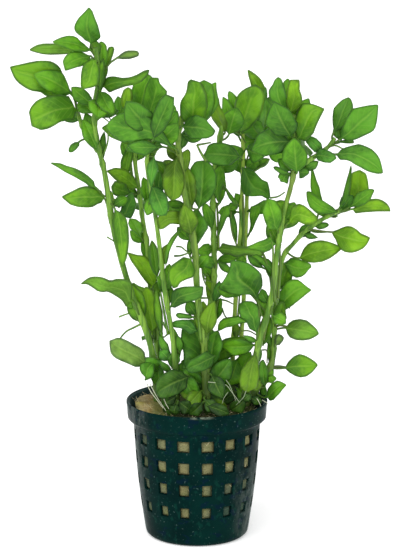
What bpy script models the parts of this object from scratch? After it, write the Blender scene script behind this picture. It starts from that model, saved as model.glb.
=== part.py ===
"""A potted water purslane: a net pot, its rockwool plug, branching stems and pointed leaves.

Metres, +Z up. The origin is the centre of the pot's underside, and the plant's front faces -Y.
"""

import math
from typing import NamedTuple

import bpy
from mathutils import Vector

MM = 0.001

# Driving dimensions of the pot
POT_HEIGHT = 0.054
RIM_RADIUS = 0.0275
COLLAR_HEIGHT = 0.0075
COLLAR_LIP = 0.0016
WALL_TOP_RADIUS = 0.0246
WALL_BASE_RADIUS = 0.0199
BASE_ROUNDING = 0.0016
WALL = 0.0011
FLOOR = 0.0014

# The pot's square openings: columns round it, the height of each row, and their size
OPENING_COLUMNS = 16
FIRST_COLUMN_DEGREES = 10.0
OPENING_ROWS = (0.0140, 0.0233, 0.0323, 0.0412)
OPENING_HEIGHTS = (0.0038, 0.0040, 0.0041, 0.0038)
OPENING_DEGREES = (8.6, 9.0, 9.6, 10.4)

# The rockwool plug, and how deep the stems stand in it
GAP = 0.0003
PLUG_TOP = 0.0500
STEM_DEPTH = 0.0060
PLUG_SIDES = 18

# Stems and leaves
STEM_SIDES = 5
COURSE_STEPS = 8
PETIOLE_RADIUS = 0.0004
LEAF_THICKNESS = 0.0006
LEAF_STATIONS = (0.16, 0.42, 0.74)
SMALL_LEAF_STATIONS = (0.28, 0.68)
BRACT_STATIONS = (0.45,)
BRACT = 4.2
FULLNESS = 1.25
FOLD = 0.22
SWING_DEGREES = 28

# The view that places on the plant are read in: pixels of a frame 400 wide and 551 high
VIEW_BACK = 0.850
VIEW_UP = 0.2817
VIEW_RIGHT = 0.0012
VIEW_TILT = 0.207
VIEW_SCALE = 2252.0
FRAME_WIDTH = 400
FRAME_HEIGHT = 551
VIEW_POINT = Vector((VIEW_RIGHT, -VIEW_BACK, VIEW_UP))


class Stem(NamedTuple):
    """A stem's course: where its foot stands (x, y in mm) or the stem it forks from, then the places it
    passes (column, row, depth behind the pot's axis in mm), and its radius at both ends in mm."""

    foot: object
    route: list
    radii: tuple


class Leaf(NamedTuple):
    """A leaf: its stem, the row at which it leaves it, the columns and rows of its blade's base and tip, its
    width in mm, its turn about its own length in degrees, the depth of its base behind its stem and of its
    tip behind its base, the bow of its midrib to the side and the arch of its blade, all in mm, how far
    along it is widest, and its shade of green."""

    stem: str
    row: float
    base: tuple
    tip: tuple
    width: float
    turn: float = 0
    side: float = 0
    reach: float = 0
    bow: float = 0
    arch: float = 1
    widest: float = 0.42
    shade: str = "mid"


STEMS = {
    "a": Stem((-15.5, 1), [(153, 357, 0), (143, 322, -1), (131, 292, -2), (120, 255, -3), (112, 222, -4),
                           (109, 200, -5), (104, 170, -5), (99, 150, -6), (95, 127, -7), (95, 105, -8),
                           (98, 85, -9), (97, 62, -10), (95, 48, -11)], (1.1, 0.6)),
    "a_left": Stem("a", [(98, 149, -6), (90, 137, -3), (84, 127, 0), (80, 117, 2), (76, 104, 3)],
                   (0.9, 0.5)),
    "b": Stem((-13, 8), [(157, 345, 9), (153, 310, 10), (150, 285, 11), (147, 245, 13), (143, 222, 14),
                         (139, 190, 16), (135, 160, 18), (137, 135, 20), (141, 118, 21)], (1.0, 0.6)),
    "c": Stem((-7.5, -5), [(174, 350, -7), (168, 310, -9), (164, 285, -11), (160, 250, -13),
                           (156, 220, -15), (151, 190, -17), (147, 165, -19), (150, 140, -22),
                           (155, 120, -23)], (1.0, 0.6)),
    "d": Stem((4, -6), [(205, 360, -7), (203, 330, -8), (198, 300, -9), (196, 270, -10), (195, 250, -10.5),
                        (190, 220, -11.5), (184, 190, -12.5), (181, 165, -13), (178, 145, -14),
                        (180, 125, -15), (186, 108, -16)], (1.5, 0.7)),
    "e": Stem((5, 7), [(206, 340, 8), (211, 305, 9), (214, 280, 10), (214, 250, 11), (213.5, 225, 12),
                       (213, 195, 13), (215, 165, 14), (219, 145, 15), (222, 125, 15)], (1.2, 0.6)),
    "f": Stem((13.5, 9), [(233, 350, 12), (235, 310, 14), (237, 280, 17), (239, 250, 20), (241, 225, 22),
                          (241.5, 200, 25), (243, 175, 28), (243, 145, 31), (243, 125, 32)], (0.9, 0.6)),
    "g": Stem((17, 11), [(241, 345, 14), (243.5, 305, 17), (244, 275, 20), (245, 245, 23), (246.5, 215, 26),
                         (247.5, 190, 29), (253, 160, 32), (260, 135, 35), (262, 112, 36)], (0.9, 0.6)),
    "h": Stem((17, -4), [(254, 365, -5), (260, 338, -6), (268, 312, -7), (272, 295, -8), (276, 262, -9),
                         (279, 240, -10), (283, 212, -11), (288, 192, -12), (293, 172, -13),
                         (296, 155, -14), (296, 135, -15), (294, 115, -16)], (1.1, 0.6)),
    "h_right": Stem("h", [(294, 170, -13), (305, 163, -12), (317, 155, -11), (328, 147, -10),
                          (335, 138, -10)], (0.6, 0.45)),
    "i": Stem((19.5, 5), [(270, 367, 7), (274, 345, 8), (274, 320, 8), (275, 300, 8), (279, 275, 8),
                          (284, 255, 8), (293, 244, 7), (303, 233, 6), (315, 224, 5), (328, 216, 4),
                          (342, 209, 3)], (0.9, 0.5)),
}

LEAVES = {
    # The tall stem on the left
    "a01": Leaf("a", 50, (93, 43), (88, 8), 10.2, 8, 0, -3, 0, 1, 0.36, "mid"),
    "a02": Leaf("a", 56, (88, 49), (29, 50), 6.5, 50, 3, 4, -0.4, 1, 0.4, "light"),
    "a03": Leaf("a", 54, (90, 50), (53, 42), 6.8, -20, -1, -6, -1.0, 1, 0.42, "mid"),
    "a04": Leaf("a", 62, (90, 56), (66, 70), 8.2, 15, -2, -9, 0, 1, 0.45, "mid"),
    "a05": Leaf("a", 64, (96, 62), (84, 90), 8.8, 0, -6, -4, 0, 1, 0.55, "bright"),
    "a06": Leaf("a_left", 112, (72, 93), (10, 67), 13.4, 8, 0, -4, -1.0, 1.5, 0.54, "bright"),
    "a07": Leaf("a_left", 116, (76, 111), (32, 126), 12.0, -10, -6, -7, -3.2, 2, 0.55, "bright"),
    "a08": Leaf("a", 118, (93, 113), (80, 99), 7.4, 10, 3, 6, 0, 1, 0.5, "mid"),
    "a09": Leaf("a", 96, (102, 86), (149, 70), 5.6, 25, 0, -3, -0.6, 1, 0.24, "mid"),
    "a10": Leaf("a", 84, (101, 78), (113, 46), 5.6, 15, 2, 5, -0.4, 0.5, 0.5, "mid"),
    "a11": Leaf("a", 72, (117, 58), (140, 53), 3.6, 20, 3, 4, 0.3, 0.4, 0.42, "pale"),
    "a13": Leaf("a", 100, (99, 92), (112, 115), 8.6, 0, -2, -6, 0, 1, 0.5, "mid"),
    "a14": Leaf("a_left", 138, (79, 142), (69, 152), 4.2, 10, -2, -1, 0, 0.3, 0.45, "dark"),
    "a16": Leaf("a", 195, (95, 187), (51, 163), 5.0, 45, -3, -7, -1.4, 1, 0.36, "mid"),
    "a17": Leaf("a", 207, (104, 198), (62, 197), 8.2, 0, 0, -3, 0, 1, 0.45, "bright"),
    "a18": Leaf("a", 204, (115, 210), (122, 268), 6.2, 10, -3, -1, 0, 0.6, 0.4, "bright"),
    "a19": Leaf("a", 214, (118, 216), (133, 192), 8.0, 0, 3, 7, 0, 1, 0.42, "dark"),
    "a20": Leaf("a", 208, (108, 212), (112, 228), 2.6, 20, 2, 2, 0, 0.4, 0.42, "mid"),
    "a22": Leaf("a", 106, (97, 100), (98, 118), 8.6, 0, -3, -7, 0, 1, 0.5, "mid"),
    "a23": Leaf("a", 316, (132, 299), (81, 284), 7.0, 10, -2, -6, -2.6, 1.4, 0.32, "mid"),
    "a25": Leaf("a", 76, (99, 72), (101, 41), 5.4, 0, 2, 3, 0, 0.6, 0.5, "blue"),
    "a26": Leaf("a", 362, (146, 361), (110, 341), 8.4, 0, -4, -5, 0, 1, 0.5, "pale"),
    "a27": Leaf("a", 356, (155, 361), (145, 380), 8.5, 0, -3, -5, 0, 1, 0.5, "mid"),
    "a28": Leaf("a_left", 126, (80, 119), (62, 106), 8.0, 10, 2, 5, 0, 1, 0.42, "dark"),
    "a31": Leaf("a", 362, (158, 364), (164, 385), 7.0, 0, 0, -3, 0, 1, 0.5, "dark"),
    "a32": Leaf("a", 366, (158, 370), (146, 358), 6.4, 0, -2, -3, 0, 0.8, 0.5, "mid"),
    "a33": Leaf("a", 66, (98, 64), (95, 57), 7.0, 0, 2, 12, 0, 1, 0.42, "mid"),
    "a34": Leaf("a", 206, (110, 204), (113, 198), 7.0, 0, 2, 12, 0, 1, 0.42, "mid"),

    # The slim stem behind, left of the middle
    "b01": Leaf("b", 128, (146, 121), (158, 78), 12.0, 5, -4, -2, 0, 1.4, 0.45, "mid"),
    "b02": Leaf("b", 122, (143, 112), (177, 109), 13.0, 10, -2, 4, 0.8, 1.4, 0.45, "mid"),
    "b03": Leaf("b", 126, (128, 113), (128, 87), 4.4, 0, 1, 2, 0, 0.6, 0.5, "yellow"),
    "b04": Leaf("b", 138, (144, 134), (102, 128), 9.2, 5, -2, -3, 0, 1, 0.45, "mid"),
    "b05": Leaf("b", 150, (131, 148), (125, 181), 5.0, 10, -2, -3, 0, 0.8, 0.42, "dark"),
    "b06": Leaf("b", 194, (137, 188), (107, 171), 7.4, 5, -2, -3, 0, 1, 0.55, "dark"),
    "b07": Leaf("b", 196, (130, 193), (112, 187), 4.6, 10, -3, -4, 0, 0.6, 0.42, "mid"),
    "b08": Leaf("b", 240, (141, 237), (130, 219), 4.8, 10, -1, -3, 0, 0.6, 0.5, "mid"),
    "b09": Leaf("b", 292, (151, 287), (132, 251), 7.4, 5, -2, -4, 0, 1, 0.55, "bright"),
    "b10": Leaf("b", 338, (152, 333), (146, 287), 6.8, 10, -3, -3, 0, 1, 0.42, "bright"),
    "b12": Leaf("b", 134, (140, 118), (149, 74), 9.0, 10, 3, 4, 0, 1, 0.42, "mid"),
    "b13": Leaf("b", 148, (137, 137), (122, 108), 9.0, 0, -6, -5, 0, 1, 0.45, "mid"),
    "b16": Leaf("b", 350, (155, 344), (148, 318), 5.0, 0, 2, 4, 0, 0.6, 0.45, "mid"),
    "b22": Leaf("b", 134, (139, 130), (136, 121), 9.0, 0, 2, 13, 0, 1, 0.42, "mid"),
    "b23": Leaf("b", 344, (156, 342), (150, 336), 8.0, 0, 2, 13, 0, 1, 0.42, "mid"),
    "b20": Leaf("b", 214, (142, 210), (138, 203), 7.0, 0, 2, 13, 0, 1, 0.42, "mid"),

    # The slim stem in front, left of the middle
    "c01": Leaf("c", 155, (154, 158), (151, 187), 5.8, 10, -2, -2, 0, 0.8, 0.42, "blue"),
    "c02": Leaf("d", 152, (163, 147), (126, 150), 8.0, 5, -3, -1, -0.4, 1, 0.45, "dark"),
    "c03": Leaf("c", 190, (152, 187), (166, 215), 8.4, 0, -2, -5, 0, 1, 0.5, "blue"),
    "c04": Leaf("c", 266, (163, 264), (168, 244), 4.3, 10, 0, 1, 0, 0.5, 0.5, "olive"),
    "c05": Leaf("c", 309, (169, 306), (203, 287), 7.2, 10, -1, -3, 0.4, 1, 0.45, "dark"),
    "c06": Leaf("c", 140, (154, 138), (174, 98), 11.5, 5, -4, -4, 0, 1.4, 0.45, "mid"),
    "c07": Leaf("c", 128, (152, 128), (126, 102), 10.5, 5, 0, -6, 0, 1.4, 0.5, "mid"),
    "c08": Leaf("c", 160, (153, 160), (170, 186), 6.4, 0, 2, 5, 0, 0.5, 0.5, "mid"),
    "c09": Leaf("c", 150, (156, 142), (178, 124), 8.0, 0, 0, -5, 0, 1, 0.5, "mid"),
    "c10": Leaf("c", 196, (155, 196), (146, 216), 4.6, 0, 2, 3, 0, 0.5, 0.45, "dark"),
    "c11": Leaf("c", 300, (164, 294), (163, 268), 5.2, 0, 2, 1, 0, 0.5, 0.5, "dark"),
    "c14": Leaf("c", 294, (164, 292), (170, 264), 5.6, 0, 1, 0, 0, 0.5, 0.5, "dark"),

    # The thick stem in the middle
    "d01": Leaf("d", 122, (195, 129), (191, 80), 12.0, 0, -1, -5, -0.4, 1.2, 0.5, "bright"),
    "d02": Leaf("d", 118, (205, 122), (216, 82), 8.0, 20, 2, 3, -0.4, 1, 0.5, "mid"),
    "d03": Leaf("d", 128, (183, 126), (216, 130), 11.0, 0, -4, -4, 0.2, 1.2, 0.58, "mid"),
    "d05": Leaf("d", 174, (183, 174), (188, 149), 4.4, 0, 1, 2, 0, 0.5, 0.6, "olive"),
    "d06": Leaf("d", 210, (199, 208), (206, 160), 13.0, 5, 1, 4, 0, 1.2, 0.5, "dark"),
    "d07": Leaf("d", 248, (196, 247), (197, 208), 10.4, 0, 2, 2, 0.4, 1, 0.5, "dark"),
    "d08": Leaf("d", 226, (184, 227), (166, 268), 1.9, 0, -1, -2, -2.3, 0.4, 0.45, "dark"),
    "d09": Leaf("d", 218, (186, 216), (160, 229), 6.4, 0, -1, -4, -1.4, 1, 0.5, "olive"),
    "d10": Leaf("d", 256, (191, 259), (173, 288), 10.0, 0, -2, -4, -0.4, 1, 0.45, "bright"),
    "d12": Leaf("d", 174, (177, 158), (172, 201), 10.0, 5, -2, -3, 0, 1, 0.5, "yellow"),
    "d14": Leaf("d", 376, (203, 373), (191, 319), 14.5, 0, 5, 4, 0, 1.4, 0.55, "dark"),
    "d15": Leaf("d", 370, (211, 366), (217, 330), 8.6, 5, 2, 4, 0, 1, 0.5, "dark"),
    "d16": Leaf("d", 360, (214, 356), (186, 368), 9.0, 0, -3, -5, 0, 1, 0.45, "mid"),
    "d17": Leaf("d", 194, (180, 188), (164, 160), 8.0, 0, 2, 3, 0, 1, 0.5, "olive"),
    "d18": Leaf("d", 226, (188, 218), (168, 207), 6.4, 0, 2, 2, 0, 1, 0.5, "dark"),
    "d19": Leaf("d", 232, (191, 234), (184, 205), 7.4, 0, -2, -4, 0, 1, 0.5, "olive"),
    "d23": Leaf("d", 126, (203, 124), (204, 80), 8.0, 0, 1, 1, 0, 1, 0.5, "mid"),
    "d25": Leaf("d", 336, (207, 334), (219, 299), 8.0, 0, -2, -3, 0, 1, 0.5, "olive"),
    "d26": Leaf("d", 340, (202, 335), (203, 301), 6.6, 0, 1, 2, 0, 1, 0.5, "yellow"),
    "d27": Leaf("d", 318, (193, 317), (176, 315), 2.6, 0, 0, -2, -0.3, 0.4, 0.5, "dark"),
    "d28": Leaf("d", 334, (198, 331), (172, 323), 5.4, 0, 1, 0, -0.6, 0.6, 0.45, "blue"),

    # The stem behind it
    "e01": Leaf("e", 152, (240, 157), (204, 155), 9.0, 0, -5, -4, 0, 1.2, 0.5, "dark"),
    "e02": Leaf("e", 172, (219, 172), (237, 150), 8.0, 5, 0, 2, 0, 1, 0.45, "mid"),
    "e03": Leaf("e", 136, (225, 132), (213, 91), 6.4, 15, 0, -2, 0, 1, 0.42, "olive"),
    "e05": Leaf("e", 206, (219, 203), (221, 165), 7.4, 5, -1, 1, 0, 1, 0.45, "mid"),
    "e06": Leaf("e", 246, (213, 248), (196, 252), 5.2, 10, 0, -6, 0, 1, 0.5, "mid"),
    "e07": Leaf("e", 250, (218, 250), (266, 249), 5.6, 5, -1, -7, 0.3, 1, 0.45, "mid"),
    "e08": Leaf("e", 268, (214, 263), (200, 262), 5.0, 0, -2, -5, 0, 1, 0.45, "dark"),
    "e10": Leaf("e", 140, (229, 140), (237, 108), 9.0, 5, 0, 3, 0, 1, 0.45, "mid"),
    "e12": Leaf("e", 238, (219, 234), (229, 206), 4.6, 0, -1, 1, 0, 1, 0.5, "dark"),
    "e16": Leaf("e", 190, (226, 190), (238, 207), 1.8, 0, 0, 2, 0, 0.4, 0.45, "mid"),
    "e17": Leaf("e", 262, (218, 262), (231, 273), 3.2, 0, -1, -1, 0, 0.4, 0.5, "dark"),
    "e18": Leaf("e", 306, (214, 302), (220, 281), 3.6, 0, -1, 0, 0, 0.4, 0.5, "blue"),
    "e22": Leaf("e", 338, (209, 336), (200, 332), 9.0, 0, 2, 14, 0, 1, 0.42, "mid"),
    "e21": Leaf("e", 190, (212, 187), (204, 181), 9.0, 0, 2, 14, 0, 1, 0.42, "mid"),

    # The two stems at the back
    "f01": Leaf("f", 132, (241, 133), (256, 85), 13.2, 0, -3, -5, 0.5, 1.4, 0.48, "bright"),
    "f02": Leaf("f", 134, (236, 116), (229, 91), 4.4, 20, 1, 1, 0, 0.5, 0.5, "mid"),
    "f04": Leaf("f", 142, (239, 137), (223, 112), 8.0, 5, 2, -1, 0, 1, 0.45, "mid"),
    "f05": Leaf("f", 152, (247, 149), (266, 155), 7.0, 0, -2, -5, 0, 1, 0.45, "mid"),
    "f06": Leaf("f", 172, (243, 168), (270, 198), 10.4, 0, -3, -4, -0.6, 1.2, 0.5, "dark"),
    "f07": Leaf("f", 204, (238, 204), (227, 211), 3.4, 10, 0, -2, 0, 0.5, 0.45, "dark"),
    "f10": Leaf("f", 158, (240, 160), (230, 145), 6.0, 0, -2, -2, 0, 0.6, 0.45, "mid"),
    "f11": Leaf("f", 214, (238, 214), (234, 238), 2.8, 0, -1, -2, 0, 0.4, 0.42, "dark"),
    "f12": Leaf("f", 178, (241, 173), (235, 151), 6.4, 0, 2, 1, 0, 0.6, 0.5, "dark"),
    "f22": Leaf("f", 128, (245, 122), (249, 113), 9.0, 0, 2, 12, 0, 1, 0.42, "mid"),
    "g01": Leaf("g", 120, (262, 102), (248, 70), 6.2, 5, 0, -2, -0.8, 0.8, 0.42, "light"),
    "g02": Leaf("g", 140, (262, 138), (246, 113), 9.0, 5, -2, -4, 0, 1, 0.45, "dark"),
    "g03": Leaf("g", 236, (249, 234), (260, 205), 5.0, 10, -1, -2, 0, 0.5, 0.5, "dark"),
    "g04": Leaf("g", 150, (268, 147), (289, 158), 8.0, 0, 0, 2, 0, 1, 0.45, "mid"),
    "g05": Leaf("g", 118, (266, 113), (277, 92), 7.0, 0, 0, 2, 0, 1, 0.45, "mid"),
    "g06": Leaf("g", 132, (263, 128), (266, 98), 6.4, 0, -2, -6, 0, 1, 0.45, "dark"),
    "g07": Leaf("g", 142, (258, 140), (240, 144), 7.0, 0, 1, 3, 0, 1, 0.45, "mid"),
    "g22": Leaf("g", 120, (263, 114), (263, 104), 9.0, 0, 1, 12, 0, 1, 0.42, "mid"),
    "g21": Leaf("g", 284, (244, 280), (240, 273), 9.0, 0, 2, 13, 0, 1, 0.42, "mid"),

    # The tall stem on the right and its twig
    "h01": Leaf("h", 124, (284, 117), (278, 77), 10.0, 0, 0, 1, 0.4, 1, 0.5, "dark"),
    "h02": Leaf("h", 122, (292, 113), (299, 80), 8.0, 5, -1, -3, 0, 1, 0.55, "yellow"),
    "h03": Leaf("h", 140, (297, 138), (324, 109), 9.2, 0, -1, -4, 1.0, 1.4, 0.5, "bright"),
    "h04": Leaf("h", 138, (291, 136), (274, 102), 11.0, 0, -3, -4, 0, 1.4, 0.48, "mid"),
    "h05": Leaf("h", 146, (289, 142), (251, 150), 10.0, 5, -1, 3, -0.6, 1.4, 0.45, "mid"),
    "h06": Leaf("h", 172, (297, 172), (294, 138), 9.6, 0, -3, -4, 0, 1, 0.5, "yellow"),
    "h07": Leaf("h", 178, (289, 174), (273, 167), 3.2, 10, 1, 1, 0, 0.4, 0.42, "dark"),
    "h08": Leaf("h", 180, (290, 173), (280, 182), 5.0, 0, 2, 2, 0, 0.4, 0.55, "dark"),
    "h09": Leaf("h", 174, (299, 170), (310, 173), 3.4, 0, 0, 1, 0, 0.4, 0.42, "dark"),
    "h10": Leaf("h_right", 152, (322, 149), (308, 139), 5.4, 5, -1, -2, 0.5, 0.6, 0.55, "blue"),
    "h11": Leaf("h_right", 158, (316, 157), (336, 158), 5.2, 0, -1, -3, 0.4, 0.6, 0.45, "blue"),
    "h12": Leaf("h_right", 140, (336, 132), (349, 97), 8.8, 5, 0, 3, 0.4, 1, 0.48, "dark"),
    "h13": Leaf("h_right", 141, (341, 138), (378, 105), 12.0, 0, -1, -3, 0.2, 1.4, 0.5, "bright"),
    "h14": Leaf("h_right", 144, (338, 142), (355, 142), 3.2, 0, 0, 2, 0, 0.4, 0.5, "dark"),
    "h15": Leaf("h_right", 150, (337, 155), (383, 173), 8.0, 5, -1, -3, 1.4, 1, 0.5, "mid"),
    "h16": Leaf("h", 234, (279, 229), (267, 199), 9.4, 5, -1, -2, 0, 1, 0.5, "bright"),
    "h18": Leaf("h", 228, (289, 223), (316, 210), 7.8, 0, -1, -3, 0.6, 1, 0.45, "bright"),
    "h19": Leaf("h", 318, (257, 298), (231, 261), 15.0, 0, -2, -5, 0, 1.6, 0.5, "mid"),
    "h20": Leaf("h", 340, (259, 332), (243, 301), 10.0, 5, -1, 3, 0, 1, 0.55, "dark"),
    "h21": Leaf("h", 322, (266, 318), (261, 291), 6.2, 0, 1, 3, 0, 0.6, 0.5, "mid"),
    "h22": Leaf("h", 328, (247, 322), (217, 331), 3.6, 10, 0, 3, -2.0, 1, 0.45, "mid"),
    "h23": Leaf("h", 346, (254, 345), (220, 346), 6.6, 0, 1, 4, 0, 1, 0.45, "mid"),
    "h24": Leaf("h", 354, (255, 353), (247, 393), 6.6, 5, -2, -3, 0, 1, 0.5, "bright"),
    "h26": Leaf("h", 304, (273, 316), (286, 323), 5.0, 0, -2, -2, 0, 0.4, 0.5, "mid"),
    "h27": Leaf("h", 232, (283, 229), (295, 202), 8.2, 0, 1, 3, 0, 1, 0.5, "mid"),
    "h28": Leaf("h", 126, (290, 114), (288, 78), 7.4, 0, 2, 4, 0, 1, 0.48, "mid"),
    "h29": Leaf("h", 142, (297, 127), (309, 98), 8.4, 0, 1, 3, 0, 1, 0.5, "mid"),
    "h30": Leaf("h", 160, (293, 152), (266, 133), 9.0, 0, 2, 4, 0, 1, 0.45, "dark"),
    "h31": Leaf("h", 248, (275, 244), (255, 243), 4.8, 0, -1, -2, 0, 0.6, 0.45, "mid"),
    "h32": Leaf("h", 272, (275, 268), (250, 257), 3.6, 0, 1, 2, 0, 0.5, 0.5, "mid"),
    "h33": Leaf("h", 284, (275, 281), (267, 261), 4.4, 0, 1, 2, 0, 0.5, 0.5, "dark"),
    "h35": Leaf("h", 312, (246, 292), (216, 288), 7.4, 0, 3, 4, 0, 1, 0.5, "mid"),
    "h36": Leaf("h", 344, (257, 342), (244, 336), 2.4, 0, 0, -2, 0, 0.4, 0.5, "dark"),
    "h37": Leaf("h", 154, (298, 150), (305, 144), 9.0, 0, 2, 13, 0, 1, 0.42, "mid"),

    # The stem on the right that ends in the lower branch
    "i01": Leaf("i", 222, (320, 207), (312, 168), 4.2, 20, 0, 1, 0, 0.8, 0.42, "mid"),
    "i02": Leaf("i", 212, (337, 212), (307, 192), 6.4, 5, -1, -3, 0.4, 1, 0.5, "dark"),
    "i03": Leaf("i", 213, (347, 208), (360, 170), 9.0, 0, 2, 1, -0.4, 1, 0.52, "yellow"),
    "i04": Leaf("i", 212, (340, 207), (352, 170), 3.2, 20, -2, -3, 0, 0.8, 0.4, "dark"),
    "i05": Leaf("i", 209, (350, 206), (374, 190), 7.0, 5, -1, -2, 0, 1, 0.45, "mid"),
    "i06": Leaf("i", 209, (353, 209), (391, 211), 5.6, 15, -1, 2, 0.8, 1, 0.45, "yellow"),
    "i07": Leaf("i", 228, (332, 234), (370, 238), 9.2, 0, -2, -3, -0.6, 1.2, 0.5, "bright"),
    "i08": Leaf("i", 252, (300, 258), (341, 247), 8.6, 0, -2, -3, 0.6, 1.2, 0.5, "mid"),
    "i09": Leaf("i", 268, (285, 264), (312, 267), 6.6, 10, 2, 2, 0, 1, 0.45, "mid"),
    "i10": Leaf("i", 326, (276, 322), (284, 302), 7.0, 0, -2, -2, 0, 0.8, 0.5, "bright"),
    "i13": Leaf("i", 318, (279, 307), (311, 290), 9.0, 0, -1, -3, 1.8, 1.2, 0.5, "mid"),
    "i14": Leaf("i", 330, (286, 328), (319, 334), 8.2, 0, -1, -1, 0.2, 1.2, 0.42, "mid"),
    "i15": Leaf("i", 367, (285, 368), (318, 365), 8.6, 0, 0, 1, 0, 1.2, 0.5, "bright"),
    "i16": Leaf("i", 391, (267, 397), (286, 385), 5.4, 0, -4, -2, 0, 1, 0.55, "mid"),
    "i17": Leaf("i", 382, (268, 382), (276, 378), 3.6, 0, -1, -1, 0, 0.4, 0.5, "mid"),
    "i18": Leaf("i", 348, (275, 345), (282, 335), 4.0, 0, -1, 1, 0, 0.4, 0.5, "pale"),
    "i19": Leaf("i", 348, (271, 346), (265, 337), 3.6, 0, 0, 2, 0, 0.4, 0.5, "mid"),
    "i21": Leaf("i", 312, (276, 308), (283, 303), 8.0, 0, 2, 13, 0, 1, 0.42, "mid"),
    "i20": Leaf("i", 388, (265, 386), (263, 360), 5.6, 0, 0, -1, 0, 0.6, 0.5, "dark"),

    # Leaves low among the stems
    "c20": Leaf("c", 378, (188, 377), (156, 393), 10.5, 0, -4, -6, 0, 1.4, 0.5, "dark"),
    "c21": Leaf("c", 372, (184, 374), (196, 399), 7.6, 0, 0, -2, 0, 1, 0.5, "dark"),
    "d20": Leaf("d", 376, (212, 376), (223, 399), 7.0, 0, -3, -4, 0, 1, 0.45, "dark"),
    "d21": Leaf("d", 392, (201, 391), (187, 406), 6.0, 0, -2, -4, 0, 0.8, 0.5, "olive"),
    "e20": Leaf("e", 362, (213, 359), (248, 341), 8.4, 5, -1, -2, 0, 1, 0.5, "bright"),
    "f20": Leaf("f", 364, (237, 360), (227, 386), 8.6, 0, -3, -4, 0, 1, 0.5, "dark"),
    "f21": Leaf("f", 374, (241, 380), (250, 352), 7.0, 0, -2, -2, 0, 1, 0.5, "dark"),
}

# The leaves that are pieces of their own. The others are fused to their stems.
LEAF_PIECES = """
    a01 a02 a04 a05 a06 a07 a09 a16 a17 a18 a23 a26 b01 b02 b04 b09 c02 c05 c06 d01 d03 d06 d10 d12 d14
    e01 e07 f01 f06 g01 h01 h02 h03 h05 h12 h13 h15 h16 h19 h20 i01 i03 i06 i07 i08 i13 i14 i15 i16
""".split()


def smooth_course(points, steps):
    """Points along a smooth curve through these ones, steps to a span."""
    ends = [2 * points[0] - points[1], *points, 2 * points[-1] - points[-2]]
    course = []
    for before, start, end, after in zip(ends, ends[1:], ends[2:], ends[3:]):
        for step in range(steps):
            t = step / steps
            course.append(0.5 * (2 * start + t * (end - before)
                                 + t * t * (2 * before - 5 * start + 4 * end - after)
                                 + t ** 3 * (3 * start - before - 3 * end + after)))
    return course + [points[-1]]


def place(column, row, depth):
    """The point at this depth (mm behind the pot's axis) that the view shows at this column and row."""
    across = (column - FRAME_WIDTH / 2) / VIEW_SCALE
    down = (row - FRAME_HEIGHT / 2) / VIEW_SCALE
    ray = Vector((across,
                  math.cos(VIEW_TILT) - down * math.sin(VIEW_TILT),
                  -math.sin(VIEW_TILT) - down * math.cos(VIEW_TILT)))
    return VIEW_POINT + ray * ((depth * MM - VIEW_POINT.y) / ray.y)


def row_of(point):
    """The row at which the view shows this point."""
    away = point - VIEW_POINT
    forward = away.y * math.cos(VIEW_TILT) - away.z * math.sin(VIEW_TILT)
    up = away.y * math.sin(VIEW_TILT) + away.z * math.cos(VIEW_TILT)
    return FRAME_HEIGHT / 2 - VIEW_SCALE * up / forward


def material(name, colour, roughness):
    made = bpy.data.materials.new(name)
    made.use_nodes = True
    made.diffuse_color = (*colour, 1)
    shader = made.node_tree.nodes["Principled BSDF"]
    shader.inputs["Base Color"].default_value = (*colour, 1)
    shader.inputs["Roughness"].default_value = roughness
    shader.inputs["Metallic"].default_value = 0
    return made


def add_object(name, points, faces, finish):
    mesh = bpy.data.meshes.new(name)
    mesh.from_pydata([tuple(point) for point in points], [], faces)
    mesh.update()
    made = bpy.data.objects.new(name, mesh)
    made.data.materials.append(finish)
    bpy.context.scene.collection.objects.link(made)
    return made


def apply_modifiers(made):
    """Turns what an object's modifiers show into its own mesh."""
    graph = bpy.context.evaluated_depsgraph_get()
    mesh = bpy.data.meshes.new_from_object(made.evaluated_get(graph))
    made.modifiers.clear()
    made.data = mesh


def join_solids(made, others):
    """Unites other closed meshes with an object and removes them."""
    for other in others:
        union = made.modifiers.new("union", "BOOLEAN")
        union.operation = "UNION"
        union.solver = "EXACT"
        union.object = other
        apply_modifiers(made)
        bpy.data.objects.remove(other)


def ring(radius, height, sides, start=0.0):
    return [Vector((radius * math.cos(start + math.tau * i / sides),
                    radius * math.sin(start + math.tau * i / sides), height)) for i in range(sides)]


def column_angles():
    """The angle of the middle of each column of openings."""
    step = math.tau / OPENING_COLUMNS
    first = math.radians(FIRST_COLUMN_DEGREES) - math.pi / 2
    return [first + step * i for i in range(OPENING_COLUMNS)]


def wall_radius(height):
    low, high = BASE_ROUNDING, POT_HEIGHT - COLLAR_HEIGHT
    share = min(max((height - low) / (high - low), 0), 1)
    return WALL_BASE_RADIUS + (WALL_TOP_RADIUS - WALL_BASE_RADIUS) * share


def pot_levels():
    """The levels of the pot's outer and inner skins, from the floor's edge up to the top row of openings.
    Each is a radius, a height and half the angle that an opening spans there."""
    half = [math.radians(width) / 2 for width in OPENING_DEGREES]
    outside = [(WALL_BASE_RADIUS - BASE_ROUNDING, 0, half[0]), (WALL_BASE_RADIUS, BASE_ROUNDING, half[0])]
    inside = [(WALL_BASE_RADIUS - BASE_ROUNDING, FLOOR, half[0]),
              (wall_radius(2 * FLOOR) - WALL, 2 * FLOOR, half[0])]
    for middle, tall, width in zip(OPENING_ROWS, OPENING_HEIGHTS, half):
        for height in (middle - tall / 2, middle + tall / 2):
            outside.append((wall_radius(height), height, width))
            inside.append((wall_radius(height) - WALL, height, width))
    return outside, inside


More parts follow.
